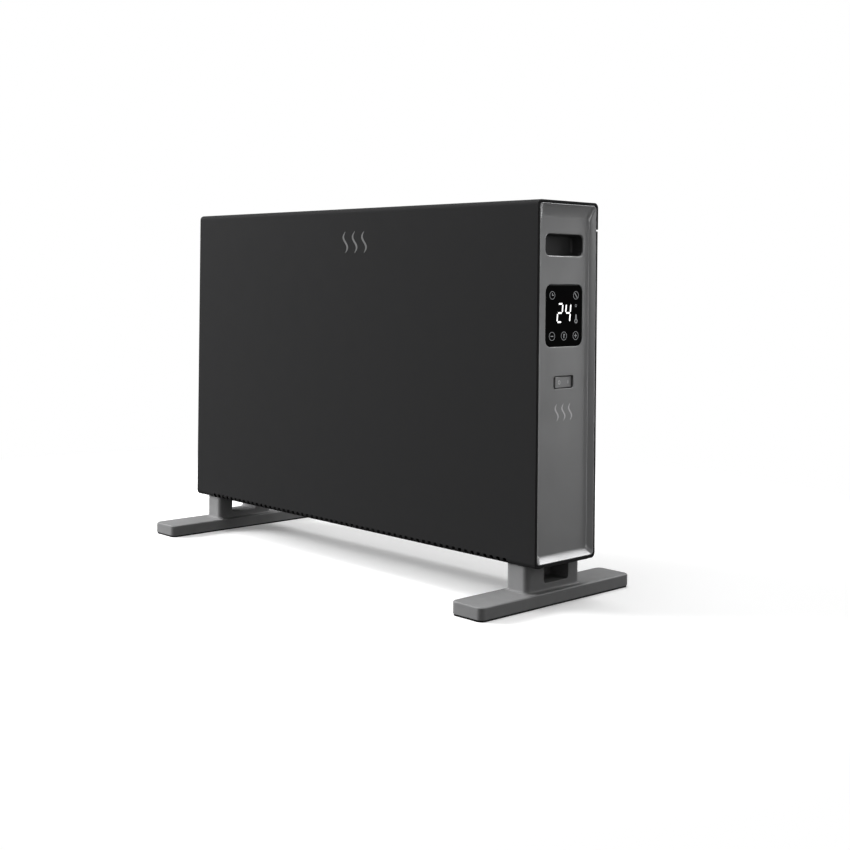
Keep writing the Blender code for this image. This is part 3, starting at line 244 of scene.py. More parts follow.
def cut_out(thing, cutter_mesh):
    """Cuts a closed shape out of a piece for good."""
    mesh = bpy.data.meshes.new("cutter")
    cutter_mesh.to_mesh(mesh)
    cutter_mesh.free()
    cutter = bpy.data.objects.new("cutter", mesh)
    SCENE.collection.objects.link(cutter)
    modifier = thing.modifiers.new("cut", "BOOLEAN")
    modifier.operation = "DIFFERENCE"
    modifier.solver = "EXACT"
    modifier.object = cutter
    graph = bpy.context.evaluated_depsgraph_get()
    result = bpy.data.meshes.new_from_object(thing.evaluated_get(graph))
    thing.modifiers.clear()
    old, thing.data = thing.data, result
    result.name = thing.name
    bpy.data.meshes.remove(old)
    bpy.data.objects.remove(cutter)


def piece(name, bm, material, replaces=(), body=BODY, edge=0.0, edge_steps=2, tidy=True):
    """A finished piece: its mesh in place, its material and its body."""
    if tidy:
        bmesh.ops.recalc_face_normals(bm, faces=bm.faces)
    mesh = bpy.data.meshes.new(name)
    bm.to_mesh(mesh)
    bm.free()
    thing = bpy.data.objects.new(name, mesh)
    SCENE.collection.objects.link(thing)
    mesh.materials.append(material)
    if replaces:
        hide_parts(*replaces)
    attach(thing, body)
    thing["edge"] = edge
    thing["edge_steps"] = edge_steps
    return thing


def finish_edges():
    """Softens and shades every piece: small rounds on sharp edges, and even normals."""
    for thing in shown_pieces():
        if "edge" not in thing:
            continue
        width, steps = thing["edge"], thing["edge_steps"]
        del thing["edge"], thing["edge_steps"]
        thing.data.shade_smooth()
        thing.data.set_sharp_from_angle(angle=math.radians(42))
        if width:
            bevel = thing.modifiers.new("soft edges", "BEVEL")
            bevel.width = width
            bevel.segments = steps
            bevel.limit_method = "ANGLE"
            bevel.angle_limit = math.radians(42)
            bevel.use_clamp_overlap = True
        even = thing.modifiers.new("even shading", "WEIGHTED_NORMAL")
        even.keep_sharp = True


# ---------------------------------------------------------------- materials
def surface(name, colour, roughness, metallic=0.0, **settings):
    """A Principled material. Returns it with its tree and shader."""
    made = bpy.data.materials.new(name)
    made.use_nodes = True
    tree = made.node_tree
    shader = tree.nodes["Principled BSDF"]
    shader.inputs["Base Color"].default_value = (*colour, 1.0)
    shader.inputs["Roughness"].default_value = roughness
    shader.inputs["Metallic"].default_value = metallic
    for socket, value in settings.items():
        shader.inputs[socket.replace("_", " ")].default_value = value
    return made, tree, shader


def object_noise(tree, scale, detail=3.0, stretch=(1, 1, 1)):
    """Noise on the object's own coordinates, in features per metre."""
    place = tree.nodes.new("ShaderNodeTexCoord")
    mapping = tree.nodes.new("ShaderNodeMapping")
    mapping.inputs["Scale"].default_value = stretch
    noise = tree.nodes.new("ShaderNodeTexNoise")
    noise.inputs["Scale"].default_value = scale
    noise.inputs["Detail"].default_value = detail
    tree.links.new(place.outputs["Object"], mapping.inputs["Vector"])
    tree.links.new(mapping.outputs["Vector"], noise.inputs["Vector"])
    return noise


def vary(tree, source, target, low, high, start=0.3, end=0.7):
    """Drives a socket between two values from a 0 to 1 pattern."""
    span = tree.nodes.new("ShaderNodeMapRange")
    span.inputs["From Min"].default_value = start
    span.inputs["From Max"].default_value = end
    span.inputs["To Min"].default_value = low
    span.inputs["To Max"].default_value = high
    tree.links.new(source, span.inputs["Value"])
    tree.links.new(span.outputs["Result"], target)


def tint(tree, source, target, dark, light, start=0.3, end=0.7):
    """Drives a colour between two tones from a 0 to 1 pattern."""
    ramp = tree.nodes.new("ShaderNodeValToRGB")
    ramp.color_ramp.elements[0].position = start
    ramp.color_ramp.elements[0].color = (*dark, 1.0)
    ramp.color_ramp.elements[1].position = end
    ramp.color_ramp.elements[1].color = (*light, 1.0)
    tree.links.new(source, ramp.inputs["Fac"])
    tree.links.new(ramp.outputs["Color"], target)


def relief(tree, shader, height, strength, distance, under=None):
    """Bump from a pattern, on top of an earlier bump if there is one."""
    bump = tree.nodes.new("ShaderNodeBump")
    bump.inputs["Strength"].default_value = strength
    bump.inputs["Distance"].default_value = distance
    tree.links.new(height, bump.inputs["Height"])
    if under:
        tree.links.new(under.outputs["Normal"], bump.inputs["Normal"])
    tree.links.new(bump.outputs["Normal"], shader.inputs["Normal"])
    return bump


def shades(tone, spread):
    """A darker and a lighter shade of a tone."""
    return [channel * (1 - spread) for channel in tone], [channel * (1 + spread) for channel in tone]


def powder_coat():
    """Fine matt powder coat: soft orange peel with a tight grain over it."""
    tone = (0.0290, 0.0290, 0.0296)
    made, tree, shader = surface("charcoal_powder_coat", tone, 0.60, Specular_IOR_Level=0.07)
    peel = object_noise(tree, 420, 2.0)
    grain = object_noise(tree, 2600, 3.0)
    flecks = object_noise(tree, 5200, 1.0)
    tint(tree, flecks.outputs["Fac"], shader.inputs["Base Color"], *shades(tone, 0.16), 0.35, 0.68)
    vary(tree, object_noise(tree, 36, 4.0).outputs["Fac"], shader.inputs["Roughness"], 0.56, 0.64)
    first = relief(tree, shader, peel.outputs["Fac"], 0.10, 0.00022)
    relief(tree, shader, grain.outputs["Fac"], 0.22, 0.00008, first)
    return made


def grained(name, tone, roughness, tones, rough, cloud_by, grain_by=None, relief_by=None, metallic=0.0):
    """A finish whose colour follows one noise and whose roughness and relief follow another."""
    made, tree, shader = surface(name, tone, roughness, metallic)
    cloud = object_noise(tree, *cloud_by)
    grain = object_noise(tree, *grain_by) if grain_by else cloud
    tint(tree, cloud.outputs["Fac"], shader.inputs["Base Color"], *tones)
    vary(tree, grain.outputs["Fac"], shader.inputs["Roughness"], *rough)
    if relief_by:
        relief(tree, shader, grain.outputs["Fac"], *relief_by)
    return made


def moulded_plastic(name, tone, roughness, texture=1900, strength=0.25, spread=0.05, metallic=0.0):
    """Spark-textured moulded plastic with a faint mottle."""
    return grained(name, tone, roughness, shades(tone, spread), (roughness - 0.05, roughness + 0.06),
                   (60, 5.0), (texture, 3.0), (strength, 0.00008), metallic)


def satin_cap(name, tone, roughness):
    """Satin graphite lacquer on a moulding: fine metallic flake under a soft sheen."""
    made, tree, shader = surface(name, tone, roughness, 0.60)
    flake = object_noise(tree, 4200, 1.0)
    tint(tree, flake.outputs["Fac"], shader.inputs["Base Color"], *shades(tone, 0.07), 0.35, 0.65)
    cloud = object_noise(tree, 45, 4.0)
    vary(tree, cloud.outputs["Fac"], shader.inputs["Roughness"], roughness - 0.03, roughness + 0.04)
    relief(tree, shader, object_noise(tree, 1500, 3.0).outputs["Fac"], 0.12, 0.00006)
    return made


def gloss_window():
    """Gloss black window with the faintest wave and a few dust-fine specks in its roughness."""
    made, tree, shader = surface("black_display_window", (0.0010, 0.0010, 0.0011), 0.07,
                                 Specular_IOR_Level=0.12)
    vary(tree, object_noise(tree, 900, 4.0).outputs["Fac"], shader.inputs["Roughness"], 0.06, 0.11, 0.4, 0.8)
    relief(tree, shader, object_noise(tree, 25, 2.0).outputs["Fac"], 0.05, 0.0002)
    return made


def soft_rubber():
    """Matt black rubber with an even grain."""
    return grained("black_rubber", (0.011,) * 3, 0.8, ((0.008,) * 3, (0.016,) * 3), (0.72, 0.90), (1200, 4.0),
                   relief_by=(0.4, 0.0002))


def plated_steel():
    """Zinc plate: cloudy spangle and fine rolling lines."""
    tone = (0.56, 0.56, 0.57)
    return grained("zinc_plated_steel", tone, 0.36, shades(tone, 0.14), (0.28, 0.46), (90, 6.0),
                   (900, 2.0, (1, 1, 0.04)), (0.12, 0.00005), 1.0)


def drawn_aluminium():
    """Extruded aluminium with long die lines."""
    tone = (0.70, 0.70, 0.72)
    return grained("extruded_aluminium", tone, 0.32, shades(tone, 0.10), (0.25, 0.42),
                   (1400, 2.0, (0.02, 1, 1)), relief_by=(0.18, 0.00006), metallic=1.0)


def fired_ceramic():
    """Pale ceramic with fine darker specks."""
    tones = (0.62, 0.58, 0.50), (0.82, 0.80, 0.74)
    return grained("fired_ceramic", (0.76, 0.73, 0.66), 0.55, tones, (0.48, 0.66), (700, 6.0),
                   relief_by=(0.2, 0.0001))


def glass_fibre_board():
    """Green board with a regular run of darker tracks in it."""
    made, tree, shader = surface("green_circuit_board", (0.02, 0.15, 0.06), 0.4)
    place = tree.nodes.new("ShaderNodeTexCoord")
    tracks = tree.nodes.new("ShaderNodeTexBrick")
    tracks.inputs["Color1"].default_value = (0.020, 0.150, 0.060, 1.0)
    tracks.inputs["Color2"].default_value = (0.026, 0.180, 0.075, 1.0)
    tracks.inputs["Mortar"].default_value = (0.010, 0.080, 0.034, 1.0)
    tracks.inputs["Scale"].default_value = 120.0
    tracks.inputs["Mortar Size"].default_value = 0.03
    turn = tree.nodes.new("ShaderNodeMapping")
    turn.inputs["Rotation"].default_value = (0, math.pi / 2, 0)
    tree.links.new(place.outputs["Object"], turn.inputs["Vector"])
    tree.links.new(turn.outputs["Vector"], tracks.inputs["Vector"])
    tree.links.new(tracks.outputs["Color"], shader.inputs["Base Color"])
    vary(tree, object_noise(tree, 500, 3.0).outputs["Fac"], shader.inputs["Roughness"], 0.34, 0.48)
    return made


def turned_metal(name, tone, roughness):
    """Brass or copper with fine turning lines."""
    return grained(name, tone, roughness, shades(tone, 0.12), (roughness - 0.06, roughness + 0.12),
                   (1600, 2.0, (1, 0.1, 0.1)), metallic=1.0)


def lit_mark(name, colour, strength):
    """Light coming through the display window, faintly uneven as a diffuser leaves it."""
    made, tree, shader = surface(name, (0.02, 0.02, 0.02), 0.4)
    shader.inputs["Emission Strength"].default_value = strength
    glow = object_noise(tree, 220, 2.0)
    tint(tree, glow.outputs["Fac"], shader.inputs["Emission Color"], [c * 0.9 for c in colour], colour)
    return made


POWDER_COAT = powder_coat()
CAP_FINISH = satin_cap("graphite_satin_cap", (0.380, 0.382, 0.386), 0.38)
# The key is the cap's grey. Its darker tone here is painted shade, and its higher roughness is its matt finish.
KEY_SHADED_FINISH = satin_cap("graphite_matt_key_painted_shade", (0.290, 0.291, 0.294), 0.52)
FOOT_FINISH = moulded_plastic("grey_foot_plastic", (0.262, 0.262, 0.265), 0.50, 1700, 0.3)
POCKET_FINISH = moulded_plastic("dark_pocket_plastic", (0.075, 0.075, 0.077), 0.55)
BLACK_FINISH = moulded_plastic("black_plastic", (0.016, 0.016, 0.016), 0.48)
PRINT_FINISH = moulded_plastic("grey_print", (0.17, 0.17, 0.172), 0.5, 2400, 0.1)
CAP_PRINT = moulded_plastic("light_grey_print", (0.85, 0.85, 0.855), 0.42, 2400, 0.1, metallic=0.3)
WINDOW_FINISH = gloss_window()
RUBBER = soft_rubber()
STEEL = plated_steel()
DIGIT_LIGHT = lit_mark("white_digit_light", (1.0, 1.0, 1.0), 1.6)
ICON_LIGHT = lit_mark("dim_icon_light", (0.72, 0.74, 0.76), 0.32)

INNER_FINISH = {
    "black_plastic": BLACK_FINISH,
    "zinc_steel": STEEL,
    "aluminium": drawn_aluminium(),
    "ceramic": fired_ceramic(),
    "circuit_board": glass_fibre_board(),
    "component_blue": moulded_plastic("blue_component_case", (0.035, 0.100, 0.380), 0.42),
    "winding": turned_metal("varnished_copper", (0.72, 0.36, 0.16), 0.38),
    "brass": turned_metal("turned_brass", (0.74, 0.54, 0.22), 0.32),
    "wire_sheath": moulded_plastic("brown_silicone_sheath", (0.17, 0.065, 0.025), 0.6),
    "rubber": RUBBER,
    "charcoal_paint": POWDER_COAT,
    "graphite_cap": CAP_FINISH,
    "foot_plastic": FOOT_FINISH,
    "black_glass": WINDOW_FINISH,
}


def finish_frame():
    """Gives every piece of the frame that still shows its own procedural finish."""
    for part in frame["record"]["subparts"]:
        node = frame["nodes"][part["node"]]
        if node.hide_render:
            continue
        finish = INNER_FINISH[part["material_slot"]]
        for index in range(len(node.material_slots)):
            node.material_slots[index].material = finish


# ---------------------------------------------------------------- folded sheet casing
def folded_sheet(corners, low_x, high_x):
    """One sheet along X through square corners in Y and Z, its folds rounded."""
    bm = bmesh.new()
    profile = [bm.verts.new((low_x, y, z)) for y, z in corners]
    edges = [bm.edges.new(pair) for pair in zip(profile, profile[1:])]
    far = verts_of(bmesh.ops.extrude_edge_only(bm, edges=edges)["geom"])
    bmesh.ops.translate(bm, verts=far, vec=(high_x - low_x, 0, 0))
    folds = [edge for edge in bm.edges if len(edge.link_faces) == 2]
    rounded(bm, folds, FOLD, 12)
    face_outwards(bm)
    return bm


def turn_in_ends(bm, low_x, high_x):
    """Turns the sheet in at both ends, square to it, as a narrow flange."""
    for x in (low_x, high_x):
        rim = [e for e in bm.edges if e.is_boundary and all(abs(v.co.x - x) < 1e-6 for v in e.verts)]
        inward = {v: -v.normal for e in rim for v in e.verts}
        places = {tuple(round(c, 6) for c in v.co): way for v, way in inward.items()}
        grown = verts_of(bmesh.ops.extrude_edge_only(bm, edges=rim)["geom"])
        for v in grown:
            way = places[tuple(round(c, 6) for c in v.co)]
            v.co += Vector((0, way.y, way.z)).normalized() * FLANGE
        rounded(bm, [e for e in rim if e.is_valid], FLANGE_BEND, 3)


def thicken(bm):
    """Gives an open sheet its thickness, inwards."""
    face_outwards(bm)
    bmesh.ops.solidify(bm, geom=list(bm.faces), thickness=SHEET)


def make_front_sheet():
    """Front, top, rear lip and lower fold in one sheet, with its outlet and its intake slots."""
    bm = folded_sheet([(BACK, LIP_BOTTOM), (BACK, TOP), (FRONT, TOP), (FRONT, BOTTOM),
                       (FRONT + FRONT_FOLD, BOTTOM)], LEFT, RIGHT)
    bm.normal_update()
    turn_in_ends(bm, LEFT, RIGHT)
    thicken(bm)
    sheet = piece("front_sheet", bm, POWDER_COAT, ["front_shell"], edge=0.00022)
    opening_low, opening_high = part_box("outlet_grille")
    lap = GRILLE_RIM - GAP
    cutter = block(bmesh.new(), (opening_low.x + lap, opening_low.y + lap, TOP - REACH),
                   (opening_high.x - lap, opening_high.y - lap, TOP + REACH), OUTLET_CORNER, 5, 2)
    cut_out(sheet, cutter)
    slots = bmesh.new()
    count = int((RIGHT - LEFT - 2 * SLOT_MARGIN) / SLOT_PITCH) + 1
    for x in spaced(count, SLOT_PITCH):
        block(slots, (x - SLOT_WIDTH / 2, FRONT - REACH, BOTTOM - REACH),
              (x + SLOT_WIDTH / 2, FRONT + SLOT_RUN, BOTTOM + SLOT_RISE), SLOT_CORNER, 3, 1)
    cut_out(sheet, slots)


def make_rear_sheet():
    """The rear panel with its vents and the holes for its screws and the cord gland."""
    bm = folded_sheet([(REAR_FACE, REAR_TOP), (REAR_FACE, BOTTOM), (BACK - REAR_FOLD, BOTTOM)],
                      LEFT, RIGHT)
    bm.normal_update()
    turn_in_ends(bm, LEFT, RIGHT)
    thicken(bm)
    sheet = piece("rear_sheet", bm, POWDER_COAT, ["rear_panel"], edge=0.00022)
    vents = bmesh.new()
    pitch, width, rise, height, margin = 0.020, 0.005, 0.045, 0.030, 0.110
    count = int((RIGHT - LEFT - 2 * margin) / pitch) + 1
    for x in spaced(count, pitch):
        block(vents, (x - width / 2, REAR_FACE - REACH, BOTTOM + rise),
              (x + width / 2, REAR_FACE + REACH, BOTTOM + rise + height), width * 0.48, 5, 1)
    cut_out(sheet, vents)
    holes = bmesh.new()
    for node in [f"rear_screw_{index}" for index in range(1, 5)] + ["cord_gland"]:
        low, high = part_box(node)
        middle = (low + high) / 2
        radius = GLAND_HOLE if node == "cord_gland" else SCREW_HOLE
        round_cutter(holes, (middle.x, REAR_FACE, middle.z), radius, 2 * REACH, along_y=True)
    cut_out(sheet, holes)


def make_base_sheet():
    """The slotted underside between the two folds, its ends turned up."""
    low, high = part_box("base_tray")
    bm = bmesh.new()
    bmesh.ops.create_grid(bm, x_segments=1, y_segments=1, size=0.5)
    bmesh.ops.scale(bm, verts=bm.verts, vec=(high.x - low.x, high.y - low.y, 1))
    bmesh.ops.translate(bm, verts=bm.verts, vec=((low.x + high.x) / 2, (low.y + high.y) / 2, low.z))
    ends = [edge for edge in bm.edges if abs(edge.verts[0].co.x - edge.verts[1].co.x) < 1e-6]
    risen = verts_of(bmesh.ops.extrude_edge_only(bm, edges=ends)["geom"])
    bmesh.ops.translate(bm, verts=risen, vec=(0, 0, high.z - low.z))
    thicken(bm)
    tray = piece("base_sheet", bm, POWDER_COAT, ["base_tray"], edge=0.0002)
    slots = bmesh.new()
    hot_low, hot_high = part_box("left_partition")[1].x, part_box("right_partition")[0].x
    pitch, width, length = 0.020, 0.008, 0.050
    count = int((hot_high - hot_low - 2 * pitch) / pitch)
    for x in spaced(count, pitch, (hot_low + hot_high) / 2):
        block(slots, (x - width / 2, -length / 2, low.z - REACH),
              (x + width / 2, length / 2, low.z + REACH), width * 0.45, 5, 2)
    cut_out(tray, slots)


def make_grille():
    """Outlet grille: one moulding, a frame with bars across it and a rim that sits under the sheet."""
    low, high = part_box("outlet_grille")
    inset = Vector((GRILLE_RIM, GRILLE_RIM, 0))
    ledge = high.z - SHEET
    bm = bmesh.new()
    loop = outline(bm, low, (high.x, high.y, low.z), OUTLET_CORNER, 4)
    fill(bm, loop)
    loop = carry(bm, loop, (low.x, low.y, ledge), (high.x, high.y, ledge))
    frame_low, frame_high = low + inset, high - inset
    loop = carry(bm, loop, (frame_low.x, frame_low.y, ledge), (frame_high.x, frame_high.y, ledge))
    loop = carry(bm, loop, (frame_low.x, frame_low.y, high.z), frame_high)
    fill(bm, loop)
    grille = piece("outlet_grille_bars", bm, BLACK_FINISH, ["outlet_grille"], edge=0.0004)
    slots = bmesh.new()
    slot = GRILLE_PITCH - GRILLE_BAR
    count = int((frame_high.x - frame_low.x + 2 * GAP - 2 * GRILLE_RIM) / GRILLE_PITCH)
    for x in spaced(count, GRILLE_PITCH):
        block(slots, (x - slot / 2, frame_low.y + GRILLE_RIM, low.z - REACH),
              (x + slot / 2, frame_high.y - GRILLE_RIM, high.z + REACH), SLOT_CORNER, 2, 2)
    cut_out(grille, slots)


# ---------------------------------------------------------------- end caps
def hole_through_cap(bm, low, high, radius, lip, segments=8):
    """A hole in the cap's floor: a rounded lip, then straight through. Returns its two end loops."""
    face_low, face_high = Vector((CAP_FLOOR, *low)), Vector((CAP_FLOOR, *high))
    grow = Vector((0, lip, lip))
    start = outline(bm, face_low - grow, face_high + grow, radius + lip, segments)
    loop = start
    for sine, cosine in quarter_turn(ROUND_STEPS):
        size = grow * (1 - sine)
        down = Vector((lip * (1 - cosine), 0, 0))
        loop = carry(bm, loop, face_low - size - down, face_high + size - down)
    end = carry(bm, loop, (CAP_BACK, *low), (CAP_BACK, *high))
    return start, end


def cap_box(level, side, bottom, top):
    """The cap's outline box at a level, drawn in by so much at the sides, bottom and top."""
    return (Vector((level, CAP_LOW.y + side, CAP_LOW.z + bottom)),
            Vector((level, CAP_HIGH.y - side, CAP_HIGH.z - top)))


def make_cap(name, holes):
    """A dished end cap: flat rim, hollow curve, flat floor with its holes, and a skirt."""
    bm = bmesh.new()
    rim = outline(bm, *cap_box(RIGHT - RIM_ROUND, 0, 0, 0), OPENING_CORNER - GAP, 10)
    loop = rim
    for sine, cosine in quarter_turn(ROUND_STEPS):
        inset = RIM_ROUND * (1 - cosine)
        loop = carry(bm, loop, *cap_box(RIGHT - RIM_ROUND * (1 - sine), inset, inset, inset))
    for sine, cosine in list(quarter_turn(ROUND_STEPS))[:4]:
        inset = RIM_ROUND + RIM_INNER * sine
        drop = RIM_INNER * (1 - cosine)
        loop = carry(bm, loop, *cap_box(RIGHT - drop, inset, inset, inset))
    brink, fall = inset, DISH_DEPTH - drop
    for step in range(1, DISH_STEPS + 1):
        inward = step / DISH_STEPS
        loop = carry(bm, loop, *cap_box(RIGHT - drop - fall * (1 - (1 - inward) ** DISH_EASE),
                                        brink + (CAP_RIM - brink + DISH_SIDE) * inward,
                                        brink + (CAP_RIM - brink + DISH_BOTTOM) * inward,
                                        brink + (CAP_RIM - brink + DISH_TOP) * inward))
    flat = 0.0006
    floor = carry(bm, loop, *cap_box(CAP_FLOOR, CAP_RIM + DISH_SIDE + flat, CAP_RIM + DISH_BOTTOM + flat,
                                     CAP_RIM + DISH_TOP + flat))
    skirt = carry(bm, rim, *cap_box(CAP_LOW.x, 0, 0, 0))
    turn = carry(bm, skirt, *cap_box(CAP_LOW.x, CAP_WALL, CAP_WALL, CAP_WALL))
    inner = carry(bm, turn, *cap_box(CAP_BACK, CAP_WALL, CAP_WALL, CAP_WALL))
    starts, ends = zip(*[hole_through_cap(bm, *hole) for hole in holes])
    fill(bm, floor, *starts)
    fill(bm, inner, *ends)
    bmesh.ops.recalc_face_normals(bm, faces=bm.faces)
    if name.startswith("left"):
        flip_ends(bm)
    piece(f"{name}_dish", bm, CAP_FINISH, [f"{name}_cap"], edge=0.00045, edge_steps=3)


GRIP_LIP, WINDOW_LIP, SWITCH_LIP = 0.0016, 0.0009, 0.0005
GRIP_RADIUS, WINDOW_RADIUS, SWITCH_RADIUS = 0.0060, 0.0080, 0.0020


def yz(corner):
    """A corner's place across the heater and up it."""
    return corner.y, corner.z


def grip_hole():
    """The grip's opening: its two corners, its corner radius and its lip."""
    shrink = Vector((0, POCKET_WALL + GAP, POCKET_WALL + GAP))
    return yz(POCKET_LOW + shrink), yz(POCKET_HIGH - shrink), GRIP_RADIUS, GRIP_LIP


def window_hole():
    """The display's opening, as above."""
    shrink = Vector((0, LENS_FLANGE - GAP, LENS_FLANGE - GAP))
    return yz(LENS_LOW + shrink), yz(LENS_HIGH - shrink), WINDOW_RADIUS, WINDOW_LIP


def switch_hole():
    """The rocker's opening, as above."""
    wall = Vector((0, HOUSING_WALL, HOUSING_WALL))
    return yz(HOUSING_LOW + wall), yz(HOUSING_HIGH - wall), SWITCH_RADIUS, SWITCH_LIP


def make_pocket(name, side):
    """Finger pocket: a smooth cup whose floor runs into its walls."""
    bm = bmesh.new()
    low, high = POCKET_LOW, POCKET_HIGH
    wall = Vector((0, POCKET_WALL, POCKET_WALL))
    mouth_low, mouth_high = Vector((high.x, low.y, low.z)), high
    mouth = outline(bm, mouth_low, mouth_high, GRIP_RADIUS + POCKET_WALL, 8)
    back = carry(bm, mouth, (low.x, *yz(low)), (low.x, *yz(high)))
    fill(bm, back)
    loop = carry(bm, mouth, mouth_low + wall, mouth_high - wall)
    floor_x, round_off, taper = low.x + POCKET_WALL, 0.0030, 0.0005
    for sine, cosine in quarter_turn(ROUND_STEPS, 0):
        draw = taper + round_off * (1 - cosine)
        level = floor_x + round_off * (1 - sine)
        inset = wall + Vector((0, draw, draw))
        loop = carry(bm, loop, Vector((level, *yz(low))) + inset, Vector((level, *yz(high))) - inset)
    fill(bm, loop)
    bmesh.ops.recalc_face_normals(bm, faces=bm.faces)
    if side < 0:
        flip_ends(bm)
    piece(f"{name}_grip_cup", bm, POCKET_FINISH, [f"{name}_handle_pocket"],
          edge=0.0003)


# ---------------------------------------------------------------- display
def make_window():
    """The gloss window, its front edge rounded over."""
    bm = bmesh.new()
    flange = Vector((0, LENS_FLANGE, LENS_FLANGE))
    low, high = LENS_LOW + flange, LENS_HIGH - flange
    face, back = LENS_HIGH.x, LENS_LOW.x
    round_off = 0.0006
    base = outline(bm, (face - round_off, *yz(low)), (face - round_off, *yz(high)), WINDOW_RADIUS, 12)
    loop = base
    for sine, cosine in quarter_turn(5):
        inset = round_off * (1 - cosine)
        level = face - round_off * (1 - sine)
        loop = carry(bm, loop, (level, low.y + inset, low.z + inset),
                     (level, high.y - inset, high.z - inset))
    flat = 0.0004 + round_off
    loop = carry(bm, loop, (face, low.y + flat, low.z + flat), (face, high.y - flat, high.z - flat))
    fill(bm, loop)
    ledge = CAP_BACK - GAP
    step_loop = carry(bm, base, (ledge, *yz(low)), (ledge, *yz(high)))
    wide = carry(bm, step_loop, (ledge, *yz(LENS_LOW)), (ledge, *yz(LENS_HIGH)))
    rear = carry(bm, wide, (back, *yz(LENS_LOW)), (back, *yz(LENS_HIGH)))
    fill(bm, rear)
    piece("display_window", bm, WINDOW_FINISH, ["display_lens"])


MARK_LIFT = 0.00006          # marks stand this far off the surface they are on


def bar_mark(bm, y, z, width, height, level, radius=0.0, slant=0.0):
    """A small flat bar on the display, leaning a little if asked."""
    low = (level - MARK_LIFT, y - width / 2, z - height / 2)
    high = (level, y + width / 2, z + height / 2)
    before = set(bm.verts)
    block(bm, low, high, radius, 2, 0)
    for vert in set(bm.verts) - before:
        vert.co.y += (vert.co.z - z) * slant


def ring_mark(bm, y, z, outer, inner, level, segments=36):
    """A thin flat ring on the display."""
    rings = [(0, inner), (0, outer), (MARK_LIFT, outer), (MARK_LIFT, inner)]
    made = spun([*rings, rings[0]], 0, (level - MARK_LIFT, y, z), segments)
    mesh = bpy.data.meshes.new("ring")
    made.to_mesh(mesh)
    made.free()
    bm.from_mesh(mesh)
    bpy.data.meshes.remove(mesh)


SEGMENTS = {"2": "top upper_right middle lower_left bottom",
            "4": "upper_left upper_right middle lower_right"}


def make_digit(name, digit, y, z, width, height):
    """One seven-bar digit, its middle at y and z."""
    stroke, slant = 0.0018, 0.10
    side, half = width / 2 - stroke / 2, height / 2 - stroke / 2
    upright, across = half - stroke * 1.05, width - stroke * 1.9
    level, corner = LENS_HIGH.x + MARK_LIFT, 0.0007
    places = {"top": (0, half), "middle": (0, 0), "bottom": (0, -half),
              "upper_left": (-side, half / 2), "upper_right": (side, half / 2),
              "lower_left": (-side, -half / 2), "lower_right": (side, -half / 2)}
    bm = bmesh.new()
    for bar in SEGMENTS[digit].split():
        dy, dz = places[bar]
        bar_width, bar_height = (stroke, upright) if dy else (across, stroke)
        bar_mark(bm, y + dy + dz * slant, z + dz, bar_width, bar_height, level, corner, slant)
    piece(name, bm, DIGIT_LIGHT)


def make_display_marks():
    """Lit digits and dim touch icons."""
    middle = (LENS_LOW + LENS_HIGH) / 2
    level = LENS_HIGH.x + MARK_LIFT
    z = middle.z + 0.0030
    make_digit("digit_tens", "2", middle.y - 0.0070, z, 0.0095, 0.0220)
    make_digit("digit_units", "4", middle.y + 0.0066, z, 0.0095, 0.0220)

    side, below, above = 0.0200, middle.z - 0.0225, middle.z + 0.0225
    big, thin = (0.0048, 0.0043), 0.0009
    icons = {
        "icon_minus": [(-side, below, *big), (-side, below, 0.0044, thin, 0, 0)],
        "icon_plus": [(side, below, *big), (side, below, 0.0044, thin, 0, 0),
                      (side, below, thin, 0.0044, 0, 0)],
        "icon_mode": [(0, below, *big), (0, below, 0.0013, 0.0050, 0.0004, 0),
                      (0.0010, below + 0.0014, 0.0014, 0.0010, 0, 0)],
        "icon_timer": [(-side, above, 0.0045, 0.0040), (-side, above + 0.0012, thin, 0.0026, 0, 0),
                       (-side + 0.0011, above, 0.0026, thin, 0, 0)],
        "icon_lock": [(side, above, 0.0045, 0.0040), (side, above, 0.0014, 0.0052, 0, -0.8)],
        "icon_degree": [(side, z + 0.0080, 0.0016, 0.0010),
                        (side + 0.0004, z - 0.0050, 0.0022, 0.0066, 0.0009, 0),
                        (side + 0.0004, z - 0.0092, 0.0026, 0.0014)],
    }
    for name, shapes in icons.items():
        bm = bmesh.new()
        for y, height, wide, tall, *bar in shapes:
            if bar:
                bar_mark(bm, y, height, wide, tall, level, *bar)
            else:
                ring_mark(bm, y, height, wide, tall, level, 24 if name == "icon_degree" else 36)
        piece(name, bm, ICON_LIGHT)


